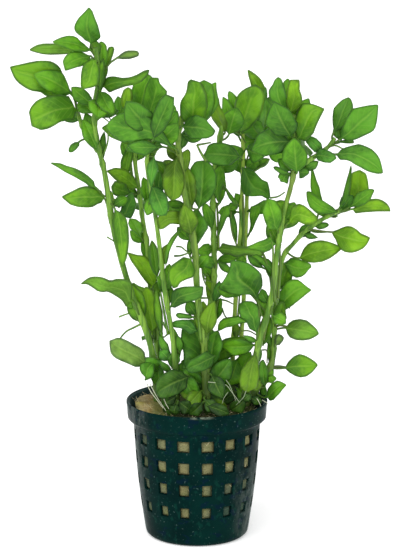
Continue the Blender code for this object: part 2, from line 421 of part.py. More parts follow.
def net_pot(finish):
    """The basket: a floor and wall of two skins joined round every opening, with a rolled collar on top."""
    outside, inside = pot_levels()
    collar_foot = POT_HEIGHT - COLLAR_HEIGHT
    narrow = outside[-1][2]
    collar = [(WALL_TOP_RADIUS, collar_foot), (RIM_RADIUS - COLLAR_LIP / 3, collar_foot - COLLAR_LIP / 2),
              (RIM_RADIUS, collar_foot + COLLAR_LIP), (RIM_RADIUS, POT_HEIGHT - COLLAR_LIP / 2),
              (RIM_RADIUS - COLLAR_LIP / 2, POT_HEIGHT), (RIM_RADIUS - 2 * COLLAR_LIP, POT_HEIGHT),
              (WALL_TOP_RADIUS - WALL, collar_foot)]
    over_rim = [(radius, height, narrow) for radius, height in collar]
    levels = outside + over_rim + inside[::-1]
    middles = column_angles()
    points, faces = [], []
    for radius, height, half in levels:
        for middle in middles:
            for angle in (middle - half, middle + half):
                points.append(Vector((radius * math.cos(angle), radius * math.sin(angle), height)))
    around = 2 * OPENING_COLUMNS
    last = len(levels) - 1
    open_below = {2 + 2 * row for row in range(len(OPENING_ROWS))}
    open_above = {last - level - 1 for level in open_below}

    def corner(level, side):
        return level * around + side % around

    for level in range(last):
        for side in range(around):
            if side % 2 == 0 and (level in open_below or level in open_above):
                continue
            faces.append((corner(level, side), corner(level, side + 1),
                          corner(level + 1, side + 1), corner(level + 1, side)))
    for low in open_below:
        high = last - low
        for side in range(0, around, 2):
            outer = [corner(low, side), corner(low, side + 1), corner(low + 1, side + 1),
                     corner(low + 1, side)]
            inner = [corner(high, side), corner(high, side + 1), corner(high - 1, side + 1),
                     corner(high - 1, side)]
            for i in range(4):
                j = (i + 1) % 4
                faces.append((outer[i], outer[j], inner[j], inner[i]))
    under, above = len(points), len(points) + 1
    points += [Vector((0, 0, 0)), Vector((0, 0, FLOOR))]
    for side in range(around):
        faces.append((under, corner(0, side + 1), corner(0, side)))
        faces.append((above, corner(last, side), corner(last, side + 1)))
    return add_object("net_pot", points, faces, finish)


def tube_solid(name, course, radii, sides, finish):
    """A closed tube along a course of points, its radius running evenly between two values."""
    points, faces = [], []
    last = len(course) - 1
    for i, point in enumerate(course):
        along = (course[min(i + 1, last)] - course[max(i - 1, 0)]).normalized()
        across = (Vector((0, 1, 0)) - along * along.y).normalized()
        other = along.cross(across)
        radius = radii[0] + (radii[1] - radii[0]) * i / last
        for side in range(sides):
            angle = math.tau * side / sides
            points.append(point + (across * math.cos(angle) + other * math.sin(angle)) * radius)
    for i in range(last):
        for side in range(sides):
            a, b = i * sides + side, i * sides + (side + 1) % sides
            faces.append((a, b, b + sides, a + sides))
    faces.append(tuple(range(sides))[::-1])
    faces.append(tuple(last * sides + side for side in range(sides)))
    return add_object(name, points, faces, finish)


def stem_course(name, steps):
    """The points of a stem's centre line, from its foot in the plug or from the stem it forks from."""
    stem = STEMS[name]
    points = [place(*stop) for stop in stem.route]
    if isinstance(stem.foot, tuple):
        x, y = stem.foot[0] * MM, stem.foot[1] * MM
        foot = [Vector((x, y, PLUG_TOP - STEM_DEPTH)), Vector((x, y, PLUG_TOP))]
        points = foot + points
    return smooth_course(points, steps)


def rockwool_plug(finish):
    """A tapered plug that fills the pot, with a socket for the foot of each stem."""
    floor = FLOOR + GAP
    points = ring(WALL_BASE_RADIUS - BASE_ROUNDING - GAP, floor, PLUG_SIDES)
    points += ring(wall_radius(2 * FLOOR) - WALL - 2 * GAP, 2 * FLOOR, PLUG_SIDES)
    points += ring(wall_radius(PLUG_TOP) - WALL - 2 * GAP, POT_HEIGHT - COLLAR_HEIGHT, PLUG_SIDES)
    points += ring(wall_radius(PLUG_TOP) - WALL - 2 * GAP, PLUG_TOP, PLUG_SIDES)
    faces = [(i + level * PLUG_SIDES, (i + 1) % PLUG_SIDES + level * PLUG_SIDES,
              (i + 1) % PLUG_SIDES + (level + 1) * PLUG_SIDES, i + (level + 1) * PLUG_SIDES)
             for level in range(3) for i in range(PLUG_SIDES)]
    faces.append(tuple(range(PLUG_SIDES))[::-1])
    faces.append(tuple(3 * PLUG_SIDES + i for i in range(PLUG_SIDES)))
    plug = add_object("rockwool_plug", points, faces, finish)
    for name, stem in STEMS.items():
        if isinstance(stem.foot, tuple):
            x, y = stem.foot[0] * MM, stem.foot[1] * MM
            radius = stem.radii[0] * MM + 2 * GAP
            ends = [Vector((x, y, PLUG_TOP - STEM_DEPTH - GAP)), Vector((x, y, PLUG_TOP + STEM_DEPTH))]
            cutter = tube_solid("socket_" + name, ends, (radius, radius), STEM_SIDES, finish)
            cut = plug.modifiers.new("socket", "BOOLEAN")
            cut.operation = "DIFFERENCE"
            cut.solver = "EXACT"
            cut.object = cutter
            apply_modifiers(plug)
            bpy.data.objects.remove(cutter)
    return plug


def swing(leaf):
    """The turn in degrees that a leaf has besides its own, so that neighbours don't lie parallel."""
    spread = 2 * SWING_DEGREES + 1
    return (7 * leaf.tip[0] + 13 * leaf.tip[1]) % spread - SWING_DEGREES


def leaf_frame(leaf, own):
    """A leaf's lengthwise, sideways and facing directions, its petiole's start and its blade's base and tip.
    The petiole starts inside the stem, or just clear of it where the leaf is a piece of its own."""
    course = stem_course(leaf.stem, COURSE_STEPS)
    last = len(course) - 1
    i = min(range(1, last), key=lambda i: abs(row_of(course[i]) - leaf.row))
    node = course[i]
    stem_way = (course[i + 1] - course[i - 1]).normalized()
    depth = node.y / MM + leaf.side
    base = place(*leaf.base, depth)
    tip = place(*leaf.tip, depth + leaf.reach)
    out = base - node
    out -= stem_way * out.dot(stem_way)
    thick, thin = STEMS[leaf.stem].radii
    radius = (thick + (thin - thick) * i / last) * MM
    clear = radius + GAP + PETIOLE_RADIUS if own else radius / 3
    start = node + out.normalized() * clear
    base += out.normalized() * max(clear + PETIOLE_RADIUS - out.length, 0)
    along = (tip - base).normalized()
    facing = (VIEW_POINT - base).normalized()
    facing = (facing - along * facing.dot(along)).normalized()
    aside = facing.cross(along)
    turn = math.radians(leaf.turn + swing(leaf))
    face = facing * math.cos(turn) + aside * math.sin(turn)
    return along, face.cross(along), face, start, base, tip


def blade_width(u, widest):
    """The share of a blade's greatest width at u, from its base to its tip."""
    return ((u / widest) ** widest * ((1 - u) / (1 - widest)) ** (1 - widest)) ** FULLNESS


def stations(leaf, own):
    """Where a blade has its cross sections, as shares of its length. Fused and small leaves need fewer."""
    if leaf.width < BRACT:
        return BRACT_STATIONS
    return LEAF_STATIONS if own else SMALL_LEAF_STATIONS


def cross_ways(way, side, face):
    """The sideways and facing directions square to a way, from those of the blade."""
    if abs(way.dot(side)) < abs(way.dot(face)):
        across = (side - way * way.dot(side)).normalized()
        return across, way.cross(across)
    up = (face - way * way.dot(face)).normalized()
    return up.cross(way), up


def leaf_solid(name, leaf, own, finish):
    """A leaf as one closed solid: a slim petiole and a blade. The blade of a piece of its own is folded along
    its midrib, and a fused one has a flat upper face and a keel."""
    along, side, face, start, base, tip = leaf_frame(leaf, own)
    length = (tip - base).length
    wide = leaf.width * MM / 2 / math.cos(math.radians(swing(leaf)))
    half_thick = face * LEAF_THICKNESS / 2
    points, faces = [], []
    petiole = (base - start).normalized()
    for point, way in ((start, petiole), (base, (petiole + along).normalized())):
        across, up = cross_ways(way, side, face)
        for direction in (-across, up, across, -up) if own else (-across, across, -up):
            points.append(point + direction * PETIOLE_RADIUS)
    for u in stations(leaf, own):
        bulge = 4 * u * (1 - u)
        middle = base + along * length * u + (side * leaf.bow + face * leaf.arch) * bulge * MM
        half = wide * blade_width(u, leaf.widest)
        lift = face * half * FOLD if own else half_thick
        left, right = middle - side * half + lift, middle + side * half + lift
        ridge = [middle + half_thick] if own else []
        points += [left, *ridge, right, middle - half_thick]
    corners = 4 if own else 3
    for i in range(len(points) // corners - 1):
        for j in range(corners):
            a, b = corners * i + j, corners * i + (j + 1) % corners
            if j % 2 == corners % 2:
                faces += [(b, a, b + corners), (a, a + corners, b + corners)]
            else:
                faces += [(b, a, a + corners), (b, a + corners, b + corners)]
    end = len(points) - corners
    faces += [(end + (j + 1) % corners, end + j, len(points)) for j in range(corners)]
    faces.append(tuple(range(corners)))
    points.append(tip)
    return add_object(name, points, faces, finish)


def stem_solid(name, finish):
    """A stem with its forks and the leaves that are fused to it."""
    stem = STEMS[name]
    made = tube_solid("stem_" + name, stem_course(name, 1), [r * MM for r in stem.radii], STEM_SIDES, finish)
    forks = [fork for fork, other in STEMS.items() if other.foot == name]
    parts = [tube_solid(fork, stem_course(fork, 1), [r * MM for r in STEMS[fork].radii], STEM_SIDES, finish)
             for fork in forks]
    parts += [leaf_solid("fused_" + key, leaf, False, finish) for key, leaf in LEAVES.items()
              if leaf.stem in (name, *forks) and key not in LEAF_PIECES]
    join_solids(made, parts)
    return made


def clear_scene():
    for old in list(bpy.data.objects):
        bpy.data.objects.remove(old)


def main():
    clear_scene()
    plastic = material("pot_plastic", (0.004, 0.022, 0.024), 0.42)
    rockwool = material("rockwool", (0.32, 0.25, 0.12), 0.95)
    stem_green = material("stem_green", (0.13, 0.24, 0.02), 0.5)
    greens = {
        "bright": material("leaf_bright", (0.12, 0.38, 0.015), 0.45),
        "mid": material("leaf_mid", (0.06, 0.24, 0.015), 0.45),
        "dark": material("leaf_dark", (0.03, 0.14, 0.015), 0.45),
        "yellow": material("leaf_yellow", (0.18, 0.36, 0.01), 0.45),
        "light": material("leaf_light", (0.14, 0.33, 0.03), 0.45),
        "pale": material("leaf_pale", (0.16, 0.30, 0.06), 0.45),
    }
    net_pot(plastic)
    rockwool_plug(rockwool)
    for name, stem in STEMS.items():
        if isinstance(stem.foot, tuple):
            stem_solid(name, stem_green)
    for key in LEAF_PIECES:
        leaf_solid("leaf_" + key, LEAVES[key], True, greens[LEAVES[key].shade])


main()
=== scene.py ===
"""A potted water purslane: veined leaves on slim stems, a moulded net pot, its rockwool plug and pale roots.

Metres, +Z up. The plant's front faces -Y. Places on the plant are read in the view's own pixels.
"""

import math
import random
from typing import NamedTuple

import bpy
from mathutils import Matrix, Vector, noise


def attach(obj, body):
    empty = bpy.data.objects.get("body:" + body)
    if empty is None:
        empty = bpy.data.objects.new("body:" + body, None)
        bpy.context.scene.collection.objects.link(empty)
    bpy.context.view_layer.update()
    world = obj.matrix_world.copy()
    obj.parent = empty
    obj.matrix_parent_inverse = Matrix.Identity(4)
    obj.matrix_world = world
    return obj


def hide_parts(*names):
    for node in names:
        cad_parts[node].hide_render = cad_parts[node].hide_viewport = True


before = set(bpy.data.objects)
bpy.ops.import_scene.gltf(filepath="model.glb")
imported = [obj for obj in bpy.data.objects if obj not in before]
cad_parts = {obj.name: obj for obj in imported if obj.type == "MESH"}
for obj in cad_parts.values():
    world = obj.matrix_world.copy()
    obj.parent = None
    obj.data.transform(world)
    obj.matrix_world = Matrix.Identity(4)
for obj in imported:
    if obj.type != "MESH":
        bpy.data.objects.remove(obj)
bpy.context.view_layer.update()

MM = 0.001

# The pot. Each of the wall's last levels has the width of one depth below the collar's ledge and lies at
# another. The collar's profile says how far inside the rim and how far above the ledge it runs.
POT_HEIGHT = 0.054
RIM_RADIUS = 0.0275
COLLAR_HEIGHT = 0.0075
LEDGE_LEVELS = ((0.0022, 0.0022), (0.0005, 0.0007))
COLLAR_PROFILE = ((0.0021, -0.0001), (0.0011, 0.0002), (0.0005, 0.0008), (0.00035, 0.0022),
                  (0.0002, 0.0053), (0, 0.0063), (0, 0.0072), (0.0003, 0.0075))
WALL_TOP_RADIUS = 0.0248
WALL_BASE_RADIUS = 0.0203
WALL_BULGE = 0.0007
WALL = 0.0011
POT_FLOOR = 0.0014
FLOOR_RINGS = (0.12, 0.35, 0.6, 0.85, 1)
BASE_ROUNDING = 0.0024
ROUNDING_DEGREES = (30, 60, 90)
EDGE_ROUNDING = 0.00028
EDGE_STEPS = 3
EDGE_DEGREES = 50
OPENING_COLUMNS = 16
FIRST_COLUMN_DEGREES = 10.0
OPENING_ROWS = (0.0140, 0.0233, 0.0323, 0.0412)
OPENING_HEIGHTS = (0.0045, 0.0047, 0.0048, 0.0045)
OPENING_DEGREES = (9.4, 9.9, 10.6, 11.4)
OPENING_EASE = 0.35
OPENING_STEPS = 3
STRIP_STEPS = 4

# The plug, its lumps (how fine they are, how high, and their shift in the noise) and its heap on the left
PLUG_TOP = 0.0500
PLUG_INSET = 0.0006
PLUG_BULGE = 0.0010
PLUG_ROUNDING = 0.0012
PLUG_FOOT_SHARE = 0.06
PLUG_EDGE_DROP = 0.0006
PLUG_EDGE_SHARE = 0.9
PLUG_SIDES = 224
PLUG_LEVELS = 90
PLUG_TOP_RINGS = (0.985, 0.94, 0.88, 0.81, 0.74, 0.67, 0.6, 0.53, 0.46, 0.39, 0.32, 0.25, 0.18, 0.11, 0.05)
SIDE_LUMPS = ((260, 0.0004, (0, 0, 0)), (900, 0.0002, (0, 0, 0)))
TOP_LUMPS = ((190, 0.0011, (3, 1, 7)), (620, 0.0005, (0, 0, 0)))
HEAP_X, HEAP_Y = -0.0190, 0.0005
HEAP_STRETCH = 1.5
HEAP_REACH = 0.0125
HEAP_RISE = 0.0031
HEAP_SPREAD = 18

# Loose fibres and roots
FIBRES = 420
FIBRE_SEED = 5
FIBRES_ON_TOP = 0.55
FIBRE_RADIUS = 0.00006
FIBRE_CLEAR = 0.0001
FIBRE_LENGTHS = (0.0015, 0.0042)
FIBRE_HEIGHTS = (0.008, 0.048)
FIBRE_TILT = (0.0, 0.6)
FIBRE_CURL = (-0.3, 1)
FIBRE_BEND = 0.0006
FIBRE_SHARES = (0, 0.35, 0.7, 1)
FIBRE_SIDES = 3
ROOT_STEPS = 6
ROOT_SIDES = 6
ROOT_TAPER = 0.45

# Stems and slim strokes. A joint's reach is in rows of the view.
STEM_DEPTH = 0.0060
STEM_SIDES = 10
STEM_STEPS = 7
JOINT_SWELLING = 0.30
JOINT_REACH = 2.6
UNEVENNESS = 0.04
UNEVEN_PACE = 1.3
STROKE_STEPS = 5
STROKE_SIDES = 8
STROKE_WIDTH = 1.15
STROKE_TAPER = 0.35
STROKE_DARK = 0.78

# How finely leaves are made: where their skin has points across it, its rows, and the rows of its petiole.
# A leaf less than BRACT mm wide is made more simply.
LEAF_FINENESS = ((-1, -0.9, -0.66, -0.36, -0.09, 0, 0.09, 0.36, 0.66, 0.9, 1), 22, 5)
BRACT_FINENESS = ((-1, -0.5, 0, 0.5, 1), 8, 3)
BRACT = 4.2
ROW_EVENNESS = 0.4
COURSE_STEPS = 8

# The form of leaves, in metres or as shares of a blade's length or half width
GAP = 0.0003
PETIOLE_RADIUS = 0.0004
LEAF_THICKNESS = 0.0004
KEEL = 0.00022
KEEL_REACH = 0.1
KEEL_ABOVE = 0.3
RIPPLE = 0.00007
HOOK = 0.0008
HOOK_SPAN = (0.62, 1.15)
POINT = 1.75
WIDENING = 0.16
TIP_NARROWING = 0.7
LEAN = 0.05
FOLD = 0.20
FOLD_CURVE = 1.3
DISH = 0.10
WAVE = 0.16
WAVES = (1.6, 2.6)
WAVE_SHIFTS = {1: 0, -1: 1.7}
SIDE_VEINS = 7
VEIN_SLANT = 0.34

# The swing of leaves in degrees, and how their midribs and margins follow the marks in the view
SWING_DEGREES = 28
SWING_PACES = (7, 13)
MARKED_TURN = 36
MARK_BLUR = 0.02
MARK_EASE = 0.6
MIDRIB_BEND = 0.85

# The distance in mm from a margin that is given to what has none
FAR = 9.0

# The view: where it is seen from, its tilt in radians, and the scale and size of its frame in pixels
VIEW_POINT = Vector((0.0012, -0.850, 0.2817))
VIEW_TILT = 0.207
VIEW_SCALE = 2252.0
FRAME_WIDTH = 400
FRAME_HEIGHT = 551
SENSOR_HEIGHT = 36

# The studio: each sun's strength, its breadth, its tilt and its turn in degrees
SUNS = {"key": (1.50, 60, 42, -30), "front": (0.98, 50, 74, 12)}
SKY = 0.67
STAGE_REACH = 6
STAGE_DROP = 0.00005
STAGE_GREY = 0.93
STAGE_GLOW = 0.35


class Stem(NamedTuple):
    """A stem's course: where its foot stands (x, y in mm) or the stem it forks from, then the places it
    passes (column, row, depth behind the pot's axis in mm), and its radius at both ends in mm."""

    foot: object
    route: list
    radii: tuple


class Leaf(NamedTuple):
    """A leaf: its stem, the row at which it leaves it, the columns and rows of its blade's base and tip, its
    width in mm, the depth of its base behind its stem and of its tip behind its base in mm, its shade of
    green, which is partly its own colour and partly painted light and painted shade, the arch of its blade in
    mm and its turn about its own length in degrees. Where OUTLINES doesn't tell its outline, also how far
    along it is widest, and the bow of its midrib to the side in mm."""

    stem: str
    row: float
    base: tuple
    tip: tuple
    width: float
    side: float = 0
    reach: float = 0
    shade: str = "mid"
    arch: float = 0.6
    turn: float = 0
    widest: float = 0.5
    bow: float = 0


STEMS = {
    "a": Stem((-15.5, 1), [(153, 357, 0), (143, 322, -1), (131, 292, -2), (120, 255, -3), (112, 222, -4),
                           (109, 200, -5), (104, 170, -5), (99, 150, -6), (95, 127, -7), (95, 105, -8),
                           (98, 85, -9), (97, 62, -10), (95, 48, -11)], (1.35, 0.80)),
    "a_left": Stem("a", [(98, 151, -6), (90, 139, -3), (83, 128, 0), (79, 117, 2), (76, 104, 3)],
                   (1.1, 0.6)),
    "b": Stem((-13, 8), [(157, 345, 9), (153, 310, 10), (150, 285, 11), (147, 245, 13), (143, 222, 14),
                         (139, 190, 16), (135, 160, 18), (137, 135, 20), (141, 118, 21)], (1.15, 0.75)),
    "c": Stem((-7.5, -5), [(174, 350, -7), (168, 310, -9), (164, 285, -11), (160, 250, -13),
                           (156, 220, -15), (151, 190, -17), (147, 165, -19), (150, 140, -22),
                           (155, 120, -23)], (1.05, 0.7)),
    "d": Stem((4, -6), [(205, 360, -7), (203, 330, -8), (198, 300, -9), (196, 270, -10), (195, 250, -10.5),
                        (190, 220, -11.5), (184, 190, -12.5), (181, 165, -13), (178, 145, -14),
                        (180, 125, -15), (186, 108, -16)], (1.5, 0.95)),
    "e": Stem((5, 7), [(206, 340, 8), (211, 305, 9), (214, 280, 10), (214, 250, 11), (213.5, 225, 12),
                       (213, 195, 13), (215, 165, 14), (219, 145, 15), (222, 125, 15)], (1.25, 1.0)),
    "f": Stem((13.5, 9), [(233, 350, 12), (235, 310, 14), (237, 280, 17), (239, 250, 20), (241, 225, 22),
                          (241.5, 200, 25), (243, 175, 28), (243, 145, 31), (243, 125, 32)], (1.0, 0.75)),
    "g": Stem((17, 11), [(241, 345, 14), (243.5, 305, 17), (244, 275, 20), (245, 245, 23), (246.5, 215, 26),
                         (247.5, 190, 29), (253, 160, 32), (260, 135, 35), (262, 112, 36)], (1.0, 0.75)),
    "h": Stem((17, -4), [(254, 365, -5), (260, 338, -6), (268, 312, -7), (272, 295, -8), (276, 262, -9),
                         (279, 240, -10), (284, 212, -11), (290, 190, -12), (294, 172, -13),
                         (296, 155, -14), (296, 135, -15), (294, 115, -16)], (1.3, 0.75)),
    "h_right": Stem("h", [(294, 170, -13), (305, 163, -12), (317, 155, -11), (328, 147, -10),
                          (335, 138, -10)], (0.9, 0.6)),
    "i": Stem((19.5, 5), [(270, 367, 7), (274, 345, 8), (274, 320, 8), (275, 300, 8), (279, 275, 8),
                          (284, 255, 8), (293, 244, 7), (303, 233, 6), (315, 224, 5), (328, 216, 4),
                          (342, 209, 3)], (1.15, 0.7)),
}

LEAVES = {
    # The tall stem on the left
    "a01": Leaf("a", 50, (93, 43), (89, 8), 10.2, 0, -3, "dark", 1, turn=8),
    "a02": Leaf("a", 56, (88, 49), (29, 50), 6.5, 3, 4, "light", 1, turn=50),
    "a03": Leaf("a", 54, (90, 50), (53, 42), 6.8, -1, -6, arch=1, turn=-20),
    "a04": Leaf("a", 62, (90, 56), (66, 70), 8.2, -2, -9, arch=1, turn=15),
    "a05": Leaf("a", 64, (96, 62), (82, 89), 8.8, -6, -4, "bright", 1),
    "a06": Leaf("a_left", 112, (72, 93), (10, 67), 13.4, 0, -4, "bright", 1.5, turn=8),
    "a07": Leaf("a_left", 116, (76, 111), (32, 126), 12.0, -6, -7, "bright", 2, turn=-10),
    "a08": Leaf("a", 118, (93, 113), (80, 99), 7.4, 3, 6, arch=1, turn=10),
    "a09": Leaf("a", 96, (102, 86), (149, 70), 5.6, 0, -3, "bright", 1, turn=25),
    "a10": Leaf("a", 84, (101, 78), (113, 46), 5.6, 2, 5, "bright", 0.5, turn=15),
    "a11": Leaf("a", 72, (117, 58), (140, 53), 3.6, 3, 4, "pale", 0.4, turn=20),
    "a13": Leaf("a", 100, (99, 92), (112, 115), 8.6, -2, -6, arch=1),
    "a14": Leaf("a_left", 138, (79, 142), (69, 152), 4.2, -2, -1, "dark", 0.3, turn=10),
    "a16": Leaf("a", 195, (95, 187), (51, 163), 5.0, -3, -7, arch=1, turn=45),
    "a17": Leaf("a", 207, (104, 198), (62, 197), 8.2, 0, -3, "bright", 1),
    "a18": Leaf("a", 204, (115, 210), (122, 268), 6.2, -3, -1, "bright", turn=10),
    "a19": Leaf("a", 214, (118, 216), (133, 192), 8.0, 3, 7, "blue", 1),
    "a20": Leaf("a", 208, (108, 212), (112, 228), 2.6, 2, 2, arch=0.4, turn=20, widest=0.42),
    "a22": Leaf("a", 106, (97, 100), (98, 118), 8.6, -3, -7, arch=1),
    "a23": Leaf("a", 316, (132, 299), (81, 284), 7.0, -2, -6, "light", 1.4, turn=10),
    "a25": Leaf("a", 76, (99, 72), (101, 41), 5.4, 2, 3),
    "a26": Leaf("a", 362, (146, 361), (110, 341), 8.4, -4, -5, "pale", 1),
    "a27": Leaf("a", 356, (155, 361), (145, 380), 8.5, -3, -5, "dark", 1),
    "a28": Leaf("a_left", 126, (80, 119), (62, 106), 6.8, 2, 5, "dark", 1, turn=10, widest=0.42),
    "a31": Leaf("a", 362, (158, 364), (164, 385), 7.0, 0, -3, "dark", 1),
    "a32": Leaf("a", 366, (158, 370), (146, 358), 6.4, -2, -3, "dark", 0.8),
    "a33": Leaf("a", 66, (98, 64), (95, 57), 7.0, 2, 12, arch=1, widest=0.42),
    "a34": Leaf("a", 206, (110, 204), (113, 198), 7.0, 2, 12, "yellow", 1, widest=0.42),
    "a35": Leaf("a", 150, (97, 150), (83, 119), 6.0, -1, 2),
    "a36": Leaf("a", 164, (101, 164), (104, 131), 3.0, 1, 2),
    "a37": Leaf("a", 106, (93, 105), (71, 87), 5.6, 3, 2),
    "a39": Leaf("a", 122, (101, 117), (119, 110), 3.4, 2, 2, "dark"),
    "a40": Leaf("a", 148, (92, 142), (86, 112), 5.0, 2, 2, "dark"),
    "a42": Leaf("a", 322, (141, 322), (127, 303), 3.8, 1, -1, "bright"),
    "a43": Leaf("a", 206, (113, 206), (128, 197), 4.2, 2, 2),
    "a44": Leaf("a", 90, (99, 90), (107, 65), 3.4, 1, 2, "bright"),
    "a45": Leaf("a", 92, (100, 92), (103, 58), 3.6, -1.5, 0, "bright"),
    "a46": Leaf("a_left", 112, (70, 93), (34, 74), 8.2, -3.5, -4, arch=1.2, turn=8, bow=-0.5),
    "a47": Leaf("a", 318, (144, 318), (131, 283), 6.4, 2, 0, "bright"),
    "a48": Leaf("a", 306, (137, 306), (125, 303), 3.6, 1, 0),
    "a49": Leaf("a", 66, (96, 58), (93, 38), 4.4, 1, 2, "bright"),

    # The slim stem behind, left of the middle
    "b01": Leaf("b", 128, (146, 121), (158, 78), 12.0, -4, -2, arch=1.4, turn=5),
    "b02": Leaf("b", 122, (143, 112), (177, 109), 13.0, -2, 4, arch=1.4, turn=10),
    "b03": Leaf("b", 126, (128, 113), (128, 87), 4.4, 1, 2, "yellow"),
    "b04": Leaf("b", 138, (144, 134), (102, 128), 9.2, -2, -3, arch=1, turn=5),
    "b05": Leaf("b", 150, (131, 148), (125, 181), 5.0, -2, -3, "bright", 0.8, turn=10),
    "b06": Leaf("b", 194, (137, 188), (107, 171), 7.4, -2, -3, "yellow", 1, turn=5),
    "b07": Leaf("b", 196, (130, 193), (112, 187), 4.6, -3, -4, "bright", turn=10),
    "b08": Leaf("b", 240, (141, 237), (130, 219), 4.8, -1, -3, turn=10),
    "b09": Leaf("b", 292, (151, 287), (128, 253), 7.4, -2, -4, "yellow", 1, turn=5),
    "b10": Leaf("b", 338, (152, 333), (146, 287), 6.8, -3, -3, "yellow", 1, turn=10),
    "b12": Leaf("b", 134, (140, 118), (149, 74), 9.0, 3, 4, arch=1, turn=10),
    "b13": Leaf("b", 148, (137, 137), (122, 108), 9.0, -6, -5, arch=1, widest=0.45),
    "b16": Leaf("b", 350, (155, 344), (148, 318), 5.0, 2, 4, "bright", widest=0.45),
    "b22": Leaf("b", 134, (139, 130), (136, 121), 9.0, 2, 13, arch=1, widest=0.42),
    "b25": Leaf("b", 300, (147, 305), (133, 283), 6.0, -2, -2, "bright", 0.8),
    "b23": Leaf("b", 344, (156, 342), (150, 336), 8.0, 2, 13, arch=1, widest=0.42),
    "b26": Leaf("b", 132, (122, 120), (118, 96), 5.2, 3, 1, "dark"),
    "b27": Leaf("b", 158, (133, 159), (122, 140), 4.6, 1, 1),
    "b28": Leaf("b", 158, (138, 160), (143, 148), 3.8, 1, 1),
    "b29": Leaf("b", 200, (137, 198), (128, 187), 3.2, 1, 1),
    "b30": Leaf("b", 238, (145, 241), (130, 231), 5.0, 1, -1),
    "b31": Leaf("b", 258, (146, 260), (142, 240), 3.0, 1, 1),
    "b32": Leaf("b", 300, (153, 304), (156, 280), 4.2, 3, 0, "bright"),
    "b20": Leaf("b", 214, (142, 210), (138, 203), 7.0, 2, 13, arch=1, widest=0.42),

    # The slim stem in front, left of the middle
    "c01": Leaf("c", 155, (154, 158), (151, 187), 5.8, -2, -2, "blue", 0.8, turn=10),
    "c02": Leaf("d", 152, (163, 147), (126, 150), 8.0, -3, -1, "dark", 1, turn=5),
    "c03": Leaf("c", 190, (152, 187), (166, 215), 8.4, -2, -5, "blue", 1),
    "c04": Leaf("c", 266, (163, 264), (168, 244), 4.3, 0, 1, "olive", 0.5, turn=10),
    "c05": Leaf("c", 309, (169, 306), (203, 287), 7.2, -1, -3, "deep", 1, turn=10),
    "c06": Leaf("c", 140, (154, 138), (174, 98), 11.5, -4, -4, "deep", 1.4, turn=5),
    "c07": Leaf("c", 128, (152, 128), (126, 102), 10.5, 0, -6, "deep", 1.4, turn=5),
    "c08": Leaf("c", 160, (153, 160), (170, 186), 6.4, 2, 5, "bright", 0.5),
    "c09": Leaf("c", 150, (156, 142), (178, 124), 8.0, 0, -5, arch=1),
    "c10": Leaf("c", 196, (155, 196), (146, 216), 4.6, 2, 3, arch=0.5, widest=0.45),
    "c11": Leaf("c", 300, (164, 294), (163, 268), 5.2, 2, 1, arch=0.5),
    "c22": Leaf("c", 368, (172, 368), (176, 351), 5.0, 1, 1, "dark", 0.5),
    "c23": Leaf("c", 358, (170, 360), (160, 350), 5.0, 2, 1, "blue", 0.5),
    "c24": Leaf("c", 370, (172, 372), (159, 361), 2.8, -2, -1, "dark", 0.5),
    "c25": Leaf("c", 276, (157, 277), (152, 240), 4.6, 6, 2, "bright"),
    "c27": Leaf("c", 128, (164, 128), (178, 111), 5.2, 4, 1, "dark"),
    "c29": Leaf("c", 162, (151, 165), (153, 149), 2.6, 2, 0),
    "c30": Leaf("c", 200, (147, 204), (144, 177), 4.6, 4, 1),
    "c31": Leaf("c", 196, (157, 196), (160, 170), 5.4, 5, 1, "blue"),
    "c33": Leaf("c", 334, (162, 336), (156, 288), 3.4, 5, 1, "bright"),
    "c34": Leaf("c", 354, (170, 356), (159, 335), 3.4, 3, 1, "dark"),
    "c35": Leaf("c", 362, (177, 365), (174, 328), 3.8, 3, 1),
    "c36": Leaf("c", 304, (169, 304), (171, 286), 3.2, 2, 1),
    "c37": Leaf("c", 152, (158, 147), (127, 146), 5.4, -3, 0, "dark"),
    "c38": Leaf("c", 392, (176, 397), (161, 406), 5.4, -2, 0, "shadow"),
    "c39": Leaf("c", 396, (179, 402), (192, 412), 5.6, -6, -1, "shadow"),
    "c40": Leaf("c", 386, (179, 389), (197, 397), 6.0, -1, 0, "olive"),
    "c41": Leaf("c", 400, (174, 405), (163, 412), 4.6, -6, 0, "shadow"),
    "c42": Leaf("c", 400, (177, 405), (174, 415), 4.6, -8, -1, "shadow"),
    "c43": Leaf("c", 352, (180, 353), (177, 335), 3.6, 2, 0, "dark"),
    "c44": Leaf("c", 372, (181, 375), (182, 362), 3.6, 2, 0, "dark"),
    "c14": Leaf("c", 294, (164, 292), (170, 264), 5.6, 1, 0, arch=0.5),

    # The thick stem in the middle
    "d01": Leaf("d", 122, (195, 129), (191, 80), 12.0, -1, -5, "bright", 1.2),
    "d02": Leaf("d", 118, (205, 122), (216, 82), 8.0, 2, 3, arch=1, turn=20),
    "d03": Leaf("d", 128, (183, 126), (215, 131), 11.0, -4, -4, "deep", 1.2),
    "d05": Leaf("d", 174, (183, 174), (188, 149), 4.4, 1, 2, "olive", 0.5),
    "d06": Leaf("d", 210, (199, 208), (206, 160), 13.0, 1, 4, "deep", 1.2, turn=5),
    "d07": Leaf("d", 248, (196, 247), (197, 208), 10.4, 2, 2, "dark", 1),
    "d08": Leaf("d", 226, (184, 227), (166, 268), 1.9, -1, -2, arch=0.4, widest=0.45, bow=-2.3),
    "d09": Leaf("d", 218, (186, 216), (160, 229), 6.4, -1, -4, "olive", 1),
    "d10": Leaf("d", 256, (191, 259), (173, 288), 10.0, -2, -4, "bright", 1),
    "d12": Leaf("d", 174, (177, 158), (172, 201), 10.0, -2, -3, "olive", 1, turn=5),
    "d14": Leaf("d", 376, (203, 373), (191, 319), 14.5, 5, 4, "deep", 1.4),
    "d15": Leaf("d", 370, (211, 366), (217, 330), 8.6, 2, 4, "dark", 1, turn=5),
    "d16": Leaf("d", 360, (214, 356), (186, 368), 9.0, -3, -5, "deep", 1),
